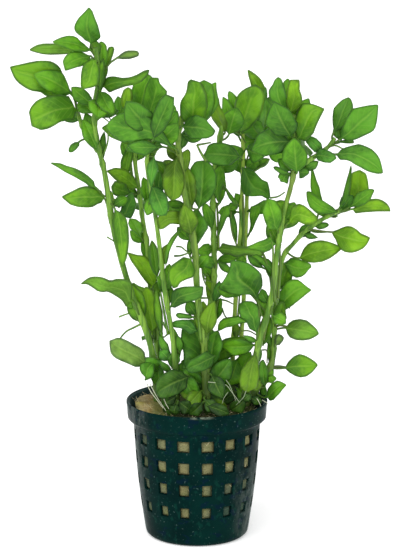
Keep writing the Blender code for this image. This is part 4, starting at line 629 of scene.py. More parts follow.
# Places on both margins of the leaves that the view shows best, from base to tip
OUTLINES = {
    "a01": ([(88, 42), (85, 39), (80, 36), (77, 32), (76, 28), (77, 24), (80, 19), (85, 13)],
            [(97, 41), (99, 38), (101, 33), (101, 30), (98, 22), (95, 16), (92, 10)]),
    "a02": ([(82, 47), (72, 45), (62, 44), (53, 44), (45, 44), (38, 45.5), (33, 48)],
            [(84, 51), (78, 53), (68, 53.5), (60, 54), (50, 54.3), (42, 53.7), (35, 52)]),
    "a03": ([(84, 44), (81, 42), (78, 38.5), (73, 36.5), (68, 36.3), (62, 38), (57, 40)],
            [(86, 51), (80, 51), (70, 50), (60, 46)]),
    "a04": ([(75, 52), (68, 54), (65, 57), (63.5, 62), (65, 67)],
            [(88, 62), (84, 65), (78, 67.5), (70, 69.5)]),
    "a05": ([(91, 59), (84, 64), (82, 70), (81, 78), (81, 85)], [(99, 68), (99, 78), (97, 86), (90, 88)]),
    "a06": ([(68, 87), (65, 83), (63, 77), (60, 70), (57, 66), (53, 63), (48, 61), (37, 61), (28, 62.5),
             (18, 65)],
            [(64, 96), (55, 97), (46, 96), (43, 93), (40, 91), (31, 90), (25, 87), (18, 82), (14, 77),
             (12, 72)]),
    "a07": ([(70, 97), (58, 96), (47, 97.5), (40, 99.5), (34, 103), (30, 108), (28.5, 113), (29, 119)],
            [(72, 120), (66, 120.5), (57, 122.3), (53, 125), (47, 128.5), (40, 130)]),
    "a09": ([(104, 79), (108, 77), (114, 76.5), (122, 78), (130, 77.5), (137, 75), (144, 71)],
            [(108, 92), (115, 89), (125, 85.5), (134, 84), (142, 81), (148, 75)]),
    "a10": ([(102, 66), (106, 56), (109, 47)], [(107, 68), (110, 62), (112.5, 55), (114, 49)]),
    "a11": ([(119, 56), (123, 52.5), (128, 51), (134, 51), (138, 51.5)],
            [(122, 59), (130, 58.5), (136, 56.5), (139, 55)]),
    "a13": ([(98, 98), (99, 106), (103, 112)], [(104, 92), (109, 95), (112, 99), (115, 107), (114, 113)]),
    "a14": ([(75, 142.5), (71, 145), (69, 149)], [(79, 145), (76, 149), (72, 152)]),
    "a16": ([(94, 185), (92, 181), (87, 176), (80, 171), (72, 167), (65, 165.5), (59, 163)],
            [(90, 187), (86, 183), (80, 179.5), (73, 175.5), (65, 171.5), (58, 167)]),
    "a17": ([(103, 192), (97, 188.5), (90, 187), (85, 186.5), (79, 188), (72, 191.5), (66, 194.5)],
            [(103, 202), (98, 203.5), (93, 206.5), (87, 207), (78, 206.5), (70, 204), (66, 200.5)]),
    "a18": ([(113, 222), (114.5, 235), (117, 248), (119.5, 260)],
            [(121, 212), (126, 218), (128, 228), (128.5, 240), (127.5, 250), (126, 259)]),
    "a19": ([(120, 212), (122, 203), (127, 197)], [(131, 218), (134, 211), (136, 204), (134, 197)]),
    "a23": ([(129, 281), (125, 278.5), (119, 278), (113, 278.3), (109, 280), (106, 279.5), (103, 278),
             (99, 276.5), (93, 276.3), (88, 277.5), (84, 281)],
            [(128, 307), (125, 302), (121, 298), (116, 295), (111, 292), (107, 290.5), (102, 291.5),
             (97, 290), (92, 286.5), (87, 283.5)]),
    "a25": ([(96, 62), (97, 52), (98, 45)], [(106, 66), (107, 55), (106, 46), (103, 42)]),
    "a26": ([(145, 357), (143.5, 352), (140, 348), (134, 345), (127, 341), (121, 338.5), (116, 338),
             (113, 340)],
            [(140, 366), (133, 365), (126, 362), (119, 359), (113, 356), (110, 352), (109.5, 345)]),
    "b01": ([(143, 108), (144, 95), (147, 84), (151, 77)],
            [(158, 112), (165, 100), (167, 90), (163, 87), (159, 83)]),
    "b02": ([(152, 103), (162, 100), (170, 101), (175, 106)],
            [(150, 120), (158, 118), (165, 114), (171, 113), (176, 113)]),
    "b03": ([(124, 110), (121.5, 104), (121.5, 97), (124, 90)], [(132, 104), (132, 95), (131, 89)]),
    "b04": ([(130, 116), (124, 114), (118, 118), (112, 121.5), (106, 125)],
            [(134, 143), (125, 143), (117, 139.5), (110, 136.5), (105, 131)]),
    "b05": ([(126, 150), (123, 156), (121, 162), (121, 172)], [(133, 155), (131, 165), (128, 175)]),
    "b06": ([(137, 182), (133, 176), (126, 170), (120, 168.5), (114, 168), (110, 170)],
            [(130, 189), (124, 185), (118, 181), (114, 178.5), (110, 174)]),
    "b07": ([(124, 184), (117, 181), (112, 182)], [(126, 195), (119, 197), (113, 194)]),
    "b08": ([(131, 229), (129, 224)], [(141, 228), (140, 220), (135, 218)]),
    "b09": ([(145, 280), (140, 273), (136, 267), (131, 260)],
            [(157, 281), (157, 275), (154, 267), (149, 260), (144, 254.5), (136, 254.5)]),
    "b10": ([(147, 326), (142, 315), (139, 303), (141, 293)],
            [(158, 324), (158, 312), (157, 300), (152, 290)]),
    "b12": ([(135, 114), (131, 105), (131, 95), (134, 84)], [(148, 110), (155, 95), (156, 84), (151, 76)]),
    "c01": ([(148, 164), (147, 172), (149, 180)], [(157, 163), (158, 170), (155, 177), (153, 183)]),
    "c02": ([(158, 142), (150, 138), (140, 136), (130, 140)],
            [(156, 149.5), (148, 150), (141, 150.5), (132, 152)]),
    "c03": ([(150, 194), (150, 202), (153, 210), (158, 216)],
            [(158, 188), (164, 193), (168, 200), (169, 208)]),
    "c04": ([(160, 260), (160, 253), (163, 247)], [(166, 264), (168, 257), (169, 250)]),
    "c05": ([(172, 292), (176, 288), (184, 286.3), (192, 286), (199, 286.5)],
            [(173, 307), (180, 303.5), (188, 301), (196, 299), (202, 296)]),
    "c06": ([(151, 125), (154, 112), (160, 100), (168, 93)],
            [(165, 128), (172, 115), (174.5, 107), (174, 101)]),
    "c08": ([(157, 168), (160, 172), (163, 180), (166, 185)],
            [(162, 161), (168, 165), (172, 175), (172, 182)]),
    "d01": ([(186, 124), (182, 118), (180.5, 112), (180.5, 104), (182, 98), (185, 94), (187, 90),
             (188.5, 82)],
            [(200, 124), (204, 115), (207, 103), (206, 92), (201, 81.5)]),
    "d02": ([(204, 110), (206, 98), (208, 86)],
            [(209, 118), (213, 113), (217.5, 106), (218, 100), (217, 94), (216, 88)]),
    "d03": ([(190, 118), (200, 116), (207, 119), (212, 126)],
            [(186, 134), (192, 138), (200, 138.5), (208, 138), (213, 135)]),
    "d05": ([(181, 165), (182, 153)], [(188, 168), (190, 160), (190, 152)]),
    "d06": ([(194, 200), (190, 190), (189, 178), (191, 168), (196, 161)],
            [(210, 200), (216, 188), (216, 176), (212, 166)]),
    "d07": ([(192, 243), (187, 236), (186, 225), (190, 215)],
            [(198, 243), (203, 235), (208, 227), (206, 222), (201, 214)]),
    "d09": ([(178, 212), (168, 212), (160, 213), (156, 220)],
            [(182, 224), (176, 224), (170, 223.5), (164, 228)]),
    "d10": ([(184, 257.5), (178, 262), (172, 266), (168, 271), (168, 279), (171, 285)],
            [(195, 270), (193, 277), (186, 279), (180, 282), (177, 287)]),
    "d12": ([(167, 165), (163, 175), (163, 185), (166, 195)],
            [(181, 165), (184, 175), (184, 187), (180, 197)]),
    "d17": ([(173, 186), (164, 178), (161, 168)], [(182, 178), (178, 168), (170, 160)]),
    "d23": ([(195, 112), (194, 100), (196, 88), (200, 82)], [(210, 115), (214, 104), (214, 93), (212, 84)]),
    "e01": ([(234, 149), (228, 145), (221, 143), (212, 143.3), (207.5, 146), (206, 152)],
            [(230, 164), (221, 165.5), (212, 164), (206, 161)]),
    "e03": ([(219, 128), (213, 120), (210, 112), (211, 104)],
            [(227, 123), (223, 112), (219, 104), (218, 97)]),
    "e05": ([(213, 192), (212, 180), (214, 170)], [(220, 195), (222, 186), (225, 178), (224, 170)]),
    "e07": ([(222, 243), (228, 245), (236, 246), (246, 247), (256, 246)],
            [(222, 254), (230, 254), (238, 257), (246, 254.5), (254, 256), (262, 257)]),
    "e12": ([(219, 226), (221, 215), (224, 208)], [(223, 226), (226, 218), (230, 213)]),
    "f01": ([(237, 126), (235, 116), (235, 106), (237, 97), (240, 92.5), (245, 89), (250, 87.3)],
            [(250, 126), (258, 116), (263, 106), (265, 95), (262, 88)]),
    "f02": ([(232, 111), (229, 103), (228, 95)], [(239, 112), (239, 104), (236, 96.5), (232, 92.5)]),
    "f04": ([(231, 131), (225, 122), (222, 112), (222.5, 104)],
            [(241, 128), (238, 118), (233, 108), (228, 100)]),
    "f06": ([(241, 180), (242, 190), (246, 196), (254, 196.5), (262, 195.5), (268, 199)],
            [(250, 168), (257, 175), (262, 180.5), (268, 183), (269.5, 190)]),
    "g01": ([(255, 93), (252, 86), (251, 82), (249, 76)],
            [(266, 96), (266, 89), (263, 83), (260, 78), (256, 74.5), (251, 71.5)]),
    "g03": ([(251, 225), (250, 215), (251, 207)], [(252, 230), (256, 220), (260, 212), (261, 207)]),
    "h01": ([(270, 98), (269, 92), (270, 88), (273, 85), (275, 80)], [(287, 105), (285, 90), (281, 79)]),
    "h02": ([(288, 102), (288, 90), (290, 81)], [(300, 106), (304, 98), (303, 93), (300, 88), (300, 83)]),
    "h03": ([(295, 132), (295, 122), (298, 110), (304, 102), (311, 103), (318, 106)],
            [(305, 140), (309, 136), (314, 131), (317, 124), (320, 117), (323, 111)]),
    "h07": ([(286, 169), (281, 168.5), (276, 166.5)], [(284, 175), (280, 173), (275, 169.5)]),
    "h08": ([(281, 172), (280, 176)], [(287, 184), (284, 182)]),
    "h09": ([(304, 167), (308, 170)], [(299, 178), (303, 177), (308, 174)]),
    "h10": ([(321, 145), (319, 142), (315, 138), (311, 136.5)],
            [(318, 153), (314, 151), (309, 146), (306, 141)]),
    "h11": ([(318, 150), (325, 149), (331, 152), (335, 155)],
            [(318, 160), (325, 162), (331, 162.5), (334, 160)]),
    "h12": ([(334.5, 126), (334, 118), (334.5, 110), (338, 105), (343, 100)],
            [(345, 128), (351, 120), (353, 112), (352.5, 105), (350.5, 99)]),
    "h13": ([(341, 132), (345, 124), (350, 114), (354, 108), (360, 106.5), (368, 105.5), (375, 105)],
            [(348, 140.5), (356, 138.5), (364, 135), (371, 131.5), (375.5, 128), (377, 120), (377.7, 112)]),
    "h14": ([(345, 140), (353, 139.5)], [(345, 143), (352, 143)]),
    "h15": ([(340, 150), (345, 148), (352, 146), (359, 144.5), (366, 147), (372, 150), (377, 155),
             (380, 160), (382, 168)],
            [(340, 159.5), (346, 159.5), (351, 161), (355, 164), (361, 167), (366, 170), (371, 172),
             (378, 173.5)]),
    "h16": ([(270, 228), (266, 220), (263, 211), (265, 204)],
            [(281, 226), (283, 218), (281, 208), (275, 200)]),
    "h18": ([(293, 207), (300, 204), (306, 206), (312, 212), (317, 217)],
            [(293, 225), (299, 221), (306, 224), (313, 224)]),
    "h19": ([(250, 294), (240, 293.5), (230, 293), (221, 291), (219, 288), (222, 283), (226, 276),
             (229, 270), (231, 265)],
            [(257, 290), (259, 283), (259, 276), (257, 269), (252, 263), (246, 260), (239, 260)]),
    "h28": ([(284, 108), (282, 95), (284, 82)], [(294, 105), (293, 92), (290, 82)]),
    "h29": ([(296, 113), (298, 103)], [(303, 122), (308, 112), (310, 103)]),
    "h31": ([(270, 236), (264, 240), (257, 242.5), (251, 245.5)],
            [(270, 250), (264, 252), (256, 250), (250, 249)]),
    "h32": ([(270, 260), (263, 258), (256, 254)], [(271, 276), (266, 268), (260, 262.5), (253, 258.5)]),
    "i01": ([(316, 203), (313, 196), (311, 188), (311, 180), (311.5, 172)],
            [(322, 200), (320, 193), (319, 187), (316, 180), (313.5, 172)]),
    "i02": ([(332, 207), (326, 203), (318, 198), (312, 193), (309, 191.5)],
            [(330, 213.5), (322, 213), (315, 211), (309, 206), (307, 200)]),
    "i03": ([(348, 200), (350, 190), (351, 180), (352, 173)],
            [(362, 204), (369, 195), (368.5, 188), (367.5, 180), (366, 174), (363, 170.5)]),
    "i04": ([(341, 203), (343, 196), (345, 188), (347, 180), (349, 174)],
            [(347, 200), (349, 190), (350.5, 180), (351.5, 170)]),
    "i05": ([(358, 193), (366, 189.5), (371, 189)], [(358, 206), (366, 203), (371, 198), (372, 195)]),
    "i06": ([(362, 201), (370, 199.5), (376, 199), (382, 201), (387, 204), (390, 208)],
            [(355, 213), (362, 212), (375, 211), (385, 211)]),
    "i07": ([(338, 230), (342, 228), (347, 226.5), (352, 227), (357, 230), (361, 234), (366, 236)],
            [(333, 235), (336, 239), (338, 244), (341, 248.5), (346, 251.5), (352, 252.5), (358, 251),
             (364, 248), (368, 243)]),
    "i08": ([(301, 255), (304, 249), (309, 244), (315, 241.5), (322, 240.5), (329, 242), (336, 244.5)],
            [(303, 260), (308, 261.5), (315, 262), (323, 261), (331, 257.5), (337, 253)]),
    "i09": ([(290, 258), (296, 259), (300, 260), (306, 262.5), (310, 264)],
            [(288, 271), (291, 275), (296, 277.5), (301, 276), (306, 272.5), (310, 268)]),
    "i13": ([(281, 292), (284, 287), (289, 281.5), (294, 279), (299, 279.5), (303, 283), (307, 287)],
            [(284, 310), (288, 308), (294, 304), (300, 299), (306, 294)]),
    "a27": ([(145, 364), (140, 366), (139.5, 370), (142, 375), (146, 377.5)],
            [(154, 367), (153, 373), (152, 378)]),
    "a31": ([(152, 370), (152, 380), (154, 384)], [(163, 368), (164, 376), (162, 383)]),
    "b25": ([(139, 299), (135, 290)], [(148, 295), (145, 286.5), (138, 285.5)]),
    "c20": ([(180, 372), (172, 371), (165, 373), (158, 378), (155, 384)],
            [(186, 388), (178, 394), (168, 398), (159, 398)]),
    "d31": ([(162, 130), (152, 120), (143, 114), (132, 112), (121, 114), (112, 119)],
            [(160, 142), (148, 139), (135, 141), (122, 142), (113, 136)]),
    "d14": ([(184, 365), (184, 352), (181, 340), (182, 330), (184, 322)],
            [(216, 360), (220, 345), (219, 335), (211, 329), (202, 326), (197, 321)]),
    "d16": ([(205, 352), (195, 358), (188, 362)], [(212, 366), (202, 371), (192, 373), (187, 371)]),
    "d27": ([(190, 315), (184, 314), (178, 313)], [(190, 318.5), (184, 318), (178, 318)]),
    "d28": ([(190, 320), (182, 320), (175, 321)], [(190, 334), (182, 328), (174, 327)]),
    "e20": ([(218, 345), (226, 338.5), (236, 336.5), (244, 337)],
            [(220, 362), (232, 356), (240, 350), (246, 346)]),
    "g08": ([(252, 207), (258, 204), (264, 200.5)], [(252, 213), (258, 213.5), (264, 213)]),
    "h20": ([(252, 329), (248, 321), (242, 318), (240, 310), (240, 303)],
            [(261, 326), (262, 315), (258, 305), (252, 301)]),
    "h21": ([(258, 312), (257, 302), (258, 295)], [(270, 312), (268, 300), (264, 292)]),
    "h22": ([(240, 316), (232, 317), (225, 318), (220, 322), (217, 327)],
            [(240, 323), (232, 326), (226, 327), (221, 330)]),
    "h24": ([(247, 362), (242, 370), (240, 380), (241, 388)],
            [(258, 362), (259, 375), (257, 388), (250, 391)]),
    "h38": ([(272, 220), (270, 210), (270, 202)], [(290, 220), (292, 210), (288, 202)]),
    "i10": ([(273, 315), (276, 307), (280, 302)], [(284, 322), (287, 316), (286, 309)]),
    "i14": ([(288, 324), (293, 320.5), (300, 319.5), (307, 321), (313, 326), (317, 330)],
            [(287, 333), (290, 337), (296, 339.5), (303, 340), (310, 339), (315, 336.5)]),
    "i15": ([(288, 362), (293, 357), (299, 354.5), (304, 356), (310, 359), (315, 362)],
            [(289, 372), (295, 375.5), (300, 377), (306, 376), (312, 372)]),
    "i16": ([(268, 389), (272, 384), (277, 381), (282, 382.5)], [(270, 400), (275, 398.5), (281, 392)]),
    "i17": ([(270, 375), (274, 375.5)], [(272, 383), (275, 380)]),
    "i18": ([(275, 340), (277, 335), (280, 334)], [(279, 345), (283, 340), (284, 336)]),
    "i19": ([(269, 345), (266, 341), (264.5, 338)], [(272, 342), (271, 337), (268, 335)]),
    "i20": ([(259, 380), (258, 370), (260, 362)], [(268, 380), (268, 372), (266, 365)]),
    "i23": ([(320, 222.5), (327, 223)], [(319, 229), (325, 228)]),
}


class Shape:
    """Points and faces that become one mesh. Each point keeps three numbers for its paint, how much it
    belongs to the underside and how many mm it is from a margin, and each face the number of its material."""

    def __init__(self):
        self.points, self.faces, self.finish = [], [], []
        self.paint, self.under, self.edge = [], [], []

    def ring(self, points, paint, under=0.0, edge=FAR):
        """Adds a ring of points; paint, under and edge are one value for all of them or a list."""
        self.points += points
        self.paint += paint if isinstance(paint, list) else [paint] * len(points)
        self.under += under if isinstance(under, list) else [under] * len(points)
        self.edge += edge if isinstance(edge, list) else [edge] * len(points)

    def face(self, corners, finish=0):
        self.faces.append(tuple(corners))
        self.finish.append(finish)

    def tube(self, start, rings, size, finish=0, closed=True):
        """Joins rings of this size from a point on and closes the first one, and if closed also the last."""
        for i in range(rings - 1):
            for j in range(size):
                a, b = start + i * size + j, start + i * size + (j + 1) % size
                self.face((a, b, b + size, a + size), finish)
        self.face([start + j for j in range(size)][::-1], finish)
        if closed:
            self.face([start + (rings - 1) * size + j for j in range(size)], finish)


def build(name, shape, materials, slot, *nodes):
    """Makes a shape a piece that rides with the plant, takes these finishes and stands for CAD nodes. Its
    slot is not used.
    """
    mesh = bpy.data.meshes.new(name)
    mesh.from_pydata([tuple(point) for point in shape.points], [], shape.faces)
    mesh.attributes.new("paint", "FLOAT_VECTOR", "POINT").data.foreach_set(
        "vector", [value for three in shape.paint for value in three])
    mesh.attributes.new("under", "FLOAT", "POINT").data.foreach_set("value", shape.under)
    mesh.attributes.new("edge", "FLOAT", "POINT").data.foreach_set("value", shape.edge)
    for finish in materials:
        mesh.materials.append(finish)
    mesh.polygons.foreach_set("material_index", shape.finish)
    mesh.polygons.foreach_set("use_smooth", [True] * len(mesh.polygons))
    mesh.update()
    piece = bpy.data.objects.new(name, mesh)
    bpy.context.scene.collection.objects.link(piece)
    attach(piece, "root")
    if nodes:
        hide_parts(*nodes)
    return piece


def smooth_course(points, steps):
    """Points along a smooth curve through these ones, steps to a span."""
    ends = [2 * points[0] - points[1], *points, 2 * points[-1] - points[-2]]
    course = []
    for before, start, end, after in zip(ends, ends[1:], ends[2:], ends[3:]):
        for step in range(steps):
            t = step / steps
            course.append(0.5 * (2 * start + t * (end - before)
                                 + t * t * (2 * before - 5 * start + 4 * end - after)
                                 + t ** 3 * (3 * start - before - 3 * end + after)))
    return course + [points[-1]]


def place(column, row, depth):
    """The point at this depth (mm behind the pot's axis) that the view shows at this column and row."""
    across = (column - FRAME_WIDTH / 2) / VIEW_SCALE
    down = (row - FRAME_HEIGHT / 2) / VIEW_SCALE
    ray = Vector((across,
                  math.cos(VIEW_TILT) - down * math.sin(VIEW_TILT),
                  -math.sin(VIEW_TILT) - down * math.cos(VIEW_TILT)))
    return VIEW_POINT + ray * ((depth * MM - VIEW_POINT.y) / ray.y)


def row_of(point):
    """The row at which the view shows this point."""
    away = point - VIEW_POINT
    forward = away.y * math.cos(VIEW_TILT) - away.z * math.sin(VIEW_TILT)
    up = away.y * math.sin(VIEW_TILT) + away.z * math.cos(VIEW_TILT)
    return FRAME_HEIGHT / 2 - VIEW_SCALE * up / forward


def around(radius, angle, height):
    """The point at this distance and angle from the pot's axis."""
    return Vector((radius * math.cos(angle), radius * math.sin(angle), height))


def smooth_step(low, high, value):
    t = min(max((value - low) / (high - low), 0), 1)
    return t * t * (3 - 2 * t)


# Stems

def stem_course(name, steps):
    """The points of a stem's centre line, from its foot in the plug or from the stem it forks from."""
    stem = STEMS[name]
    points = [place(*stop) for stop in stem.route]
    if isinstance(stem.foot, tuple):
        x, y = stem.foot[0] * MM, stem.foot[1] * MM
        points = [Vector((x, y, PLUG_TOP - STEM_DEPTH)), Vector((x, y, PLUG_TOP))] + points
    return smooth_course(points, steps)


def stem_radius(name, share):
    thick, thin = STEMS[name].radii
    return (thick + (thin - thick) * share) * MM


def tapered(radius, taper):
    """The radius of a tube that has lost this share of it at its end."""
    return lambda i, share: radius * (1 - taper * share)


def add_tube(shape, course, radius_at, sides, tone, dark=0):
    """A closed tube along a course; radius_at gives its radius at each point's number and share of the way.
    Its paint marks its flanks as the view sees them, for painted shade there, and all round by dark."""
    start, last = len(shape.points), len(course) - 1
    angles = [math.tau * side / sides for side in range(sides)]
    for i, point in enumerate(course):
        along = (course[min(i + 1, last)] - course[max(i - 1, 0)]).normalized()
        across = (Vector((0, 1, 0)) - along * along.y).normalized()
        other = along.cross(across)
        radius = radius_at(i, i / last)
        ring = [point + (across * math.cos(angle) + other * math.sin(angle)) * radius for angle in angles]
        shape.ring(ring, [(point.z / MM, min(abs(math.sin(angle)) + dark, 1), tone) for angle in angles])
    shape.tube(start, len(course), sides)


def add_stem(shape, name):
    """A stem with a swelling where each leaf leaves it and slight unevenness between them."""
    course = stem_course(name, STEM_STEPS)
    joints = sorted({leaf.row for leaf in LEAVES.values() if leaf.stem == name})
    rows = [row_of(point) for point in course]
    phase = random.Random(name).uniform(0, math.tau)

    def radius_at(i, share):
        near = min(abs(rows[i] - joint) for joint in joints)
        swelling = 1 + JOINT_SWELLING * math.exp(-(near / JOINT_REACH) ** 2)
        return stem_radius(name, share) * swelling * (1 + UNEVENNESS * math.sin(phase + i * UNEVEN_PACE))

    add_tube(shape, course, radius_at, STEM_SIDES, BROWNED.get(name, 0))


def add_strokes(shape, name):
    """The slim shoots, bare petioles and curls of a stem."""
    for number, (owner, radius, route) in enumerate(STROKES):
        if owner == name:
            course = smooth_course([place(*stop) for stop in route], STROKE_STEPS)
            add_tube(shape, course, tapered(STROKE_WIDTH * radius * MM, STROKE_TAPER), STROKE_SIDES,
                     number / len(STROKES), STROKE_DARK)


# Leaves

class Lie(NamedTuple):
    """How a leaf lies: its lengthwise, sideways and facing directions, where its stalk leaves its stem and in
    which direction, and its blade's base and tip."""

    along: Vector
    side: Vector
    face: Vector
    start: Vector
    out: Vector
    base: Vector
    tip: Vector


def swing(leaf):
    """The turn in degrees that a leaf has besides its own, so that neighbours don't lie parallel."""
    spread = 2 * SWING_DEGREES + 1
    return (SWING_PACES[0] * leaf.tip[0] + SWING_PACES[1] * leaf.tip[1]) % spread - SWING_DEGREES


def blade_turn(key, leaf):
    """A blade's whole turn about its own length. One whose margins are marked stays more open to the view."""
    turn = leaf.turn + swing(leaf)
    if key in OUTLINES:
        turn = min(max(turn, -MARKED_TURN), MARKED_TURN)
    return math.radians(turn)


def leaf_lie(leaf, turn, own):
    """How a leaf lies with this turn; one that is a piece of its own stays clear of its stem."""
    course = stem_course(leaf.stem, COURSE_STEPS)
    last = len(course) - 1
    i = min(range(1, last), key=lambda i: abs(row_of(course[i]) - leaf.row))
    node = course[i]
    stem_way = (course[i + 1] - course[i - 1]).normalized()
    depth = node.y / MM + leaf.side
    base = place(*leaf.base, depth)
    tip = place(*leaf.tip, depth + leaf.reach)
    out = base - node
    out -= stem_way * out.dot(stem_way)
    radius = stem_radius(leaf.stem, i / last)
    inside = radius / 3
    clear = radius + GAP + PETIOLE_RADIUS if own else inside
    base += out.normalized() * max(clear + PETIOLE_RADIUS - out.length, 0)
    along = (tip - base).normalized()
    facing = (VIEW_POINT - base).normalized()
    facing = (facing - along * facing.dot(along)).normalized()
    aside = facing.cross(along)
    face = facing * math.cos(turn) + aside * math.sin(turn)
    return Lie(along, face.cross(along), face, node + out.normalized() * inside, out.normalized(), base, tip)


def blade_width(u, leaf):
    """The share of a blade's greatest width at u, from its base to its tip."""
    peak = leaf.widest
    return ((u / peak) ** peak * ((1 - u) / (1 - peak)) ** (1 - peak)) ** POINT


def margin_marks(key, leaf):
    """The margin's marks on both sides of a blade, as shares of its length and offsets in columns or rows
    from the straight line between its base and tip."""
    ahead = Vector(leaf.tip) - Vector(leaf.base)
    across = Vector((ahead.y, -ahead.x)).normalized()
    sides = []
    for margin in OUTLINES.get(key, ()):
        offs = [Vector(spot) - Vector(leaf.base) for spot in margin]
        marks = sorted((off.dot(ahead) / ahead.length_squared, off.dot(across)) for off in offs)
        sides.append([(0, 0), *marks, (1, 0)])
    sides.sort(key=lambda side: sum(offset for _, offset in side))
    return {-1: sides[0], 1: sides[1]} if sides else {}


def mark_offset(marks, u):
    """The margin's offset at u, between its marks."""
    u = min(max(u, 0), 1)
    for (low, start), (high, end) in zip(marks, marks[1:]):
        if u <= high:
            return start + (end - start) * (u - low) / max(high - low, 1e-6)
    return 0


def soft_offset(marks, u):
    """The margin's offset round about u, without sharp corners."""
    return (mark_offset(marks, u - MARK_BLUR) + 2 * mark_offset(marks, u)
            + mark_offset(marks, u + MARK_BLUR)) / 4


def cross_ways(way, side, face):
    """The sideways and facing directions square to a way, from those of the blade."""
    if abs(way.dot(side)) < abs(way.dot(face)):
        across = (side - way * way.dot(side)).normalized()
        return across, way.cross(across)
    up = (face - way * way.dot(face)).normalized()
    return up.cross(way), up


def skin_height(u, v, above, opened):
    """How far a leaf's skin lies above or below its middle sheet: round at the petiole, flat and keeled where
    the blade has opened."""
    out = abs(v)
    rounded = PETIOLE_RADIUS * math.sqrt(max(1 - v * v, 0)) * above
    blade = LEAF_THICKNESS / 2 * (1 - out ** 4) * above
    keel = -KEEL * (1 - u) * math.exp(-(out / KEEL_REACH) ** 2) * (1 if above < 0 else KEEL_ABOVE)
    return rounded * (1 - opened) + (blade + keel) * opened


class Blade:
    """A leaf being made: how it lies, the marks of its margin, its own waves, tone and lean, and the places
    round its skin, each a share of its half width and 1 on the upper side or -1 on the underside."""

    def __init__(self, key, leaf, own):
        self.leaf = leaf
        self.turn = blade_turn(key, leaf)
        self.lie = leaf_lie(leaf, self.turn, own)
        self.aside = self.lie.side * math.cos(self.turn) + self.lie.face * math.sin(self.turn)
        self.length = (self.lie.tip - self.lie.base).length
        self.wide = leaf.width * MM / 2 / math.cos(math.radians(swing(leaf)))
        self.marks = margin_marks(key, leaf)
        draws = random.Random(key)
        self.phase, self.tone = draws.uniform(0, math.tau), draws.random()
        self.waves, self.lean = draws.uniform(*WAVES), draws.uniform(-LEAN, LEAN)
        across, self.rows, self.petiole_steps = BRACT_FINENESS if leaf.width < BRACT else LEAF_FINENESS
        self.sheet = [(v, 1) for v in across[::-1]] + [(v, -1) for v in across[1:-1]]

    def add_petiole(self, shape):
        """A round stalk that leaves the stem outwards and runs into the blade's midrib."""
        lie, steps = self.lie, self.petiole_steps
        reach = (lie.base - lie.start).length
        points = []
        for t in (step / steps for step in range(steps)):
            points.append(lie.start * (2 * t ** 3 - 3 * t * t + 1) + lie.base * (3 * t * t - 2 * t ** 3)
                          + (lie.out * (t ** 3 - 2 * t * t + t) + lie.along * (t ** 3 - t * t)) * reach)
        for i, (point, following) in enumerate(zip(points, points[1:] + [lie.base])):
            across, up = cross_ways((following - point).normalized(), lie.side, lie.face)
            turns = [(math.acos(v), above) for v, above in self.sheet]
            ring = [point + (across * math.cos(angle) + up * math.sin(angle) * above) * PETIOLE_RADIUS
                    for angle, above in turns]
            shape.ring(ring, (-1 + i / steps, 0, self.tone))

    def spine(self, u, opened, waving):
        """The blade's middle at u, from its base to its tip, and its half width on either side of it."""
        leaf, lie = self.leaf, self.lie
        bulge = 4 * u * (1 - u)
        rise = leaf.arch * MM * bulge - HOOK * smooth_step(*HOOK_SPAN, u)
        middle = lie.base + lie.along * self.length * u + lie.face * rise
        if not self.marks:
            half = self.wide * blade_width(u, leaf)
            return middle + lie.side * leaf.bow * bulge * MM, {1: half, -1: half}
        pixel = (lie.base - VIEW_POINT).length / VIEW_SCALE
        offsets = [(way, (soft_offset(marks, u) + way * MARK_EASE) * pixel)
                   for way, marks in self.marks.items()]
        bend = MIDRIB_BEND * sum(offset for _, offset in offsets) / 2
        halves = {}
        for way, offset in offsets:
            slope = opened * (FOLD + WAVE * waving[way])
            halves[way] = (offset - bend) / (way * math.cos(self.turn) + slope * math.sin(self.turn))
        return middle + self.aside * (bend - rise * math.sin(self.turn)), halves

    def add_section(self, shape, u):
        """The ring of points round the blade at u."""
        opened = smooth_step(0, WIDENING, u)
        swell = math.tau * self.waves * u + self.phase
        waving = {way: math.sin(swell + shift) for way, shift in WAVE_SHIFTS.items()}
        middle, halves = self.spine(u, opened, waving)
        ring, paint, under, edge = [], [], [], []
        for v, above in self.sheet:
            out = abs(v)
            way = 1 if v > 0 else -1
            half = max(halves[way], PETIOLE_RADIUS * (1 - TIP_NARROWING * u))
            reach = half * v * (1 if self.marks else 1 + self.lean * v)
            ripple = math.cos(math.tau * SIDE_VEINS * (u - VEIN_SLANT * out * half / self.wide))
            dish = math.sin(math.pi * out)
            lift = half * (FOLD * out ** FOLD_CURVE + DISH * dish + WAVE * out ** 2 * waving[way])
            lift += RIPPLE * ripple * dish * (1 - u)
            high = lift * opened + skin_height(u, v, above, opened)
            ring.append(middle + self.lie.side * reach + self.lie.face * high)
            paint.append((u, v, self.tone))
            under.append(0.5 if out == 1 else (1 - above) / 2)
            edge.append(min(half * (1 - out), self.length * (1 - u)) / MM if u > 0 else FAR)
        shape.ring(ring, paint, under, edge)

    def hooked_tip(self):
        back = self.lie.face - self.aside * math.sin(self.turn) if self.marks else self.lie.face
        return self.lie.tip - back * HOOK


def add_leaf(shape, key, own, finish=0):
    """A leaf as one closed skin: a round stalk that widens into a blade folded along its midrib, dished
    between its side veins, wavy at its margin and hooked at its tip."""
    blade = Blade(key, LEAVES[key], own)
    start, size = len(shape.points), len(blade.sheet)
    blade.add_petiole(shape)
    for t in (row / blade.rows for row in range(blade.rows)):
        blade.add_section(shape, ROW_EVENNESS * t + (1 - ROW_EVENNESS) * (1 - math.cos(math.pi * t)) / 2)
    shape.tube(start, blade.petiole_steps + blade.rows, size, finish, closed=False)
    end = len(shape.points)
    shape.ring([blade.hooked_tip()], (1, 0, blade.tone), 0.5, 0.0)
    for j in range(size):
        shape.face((end - size + j, end - size + (j + 1) % size, end), finish)


# The pot and what it holds

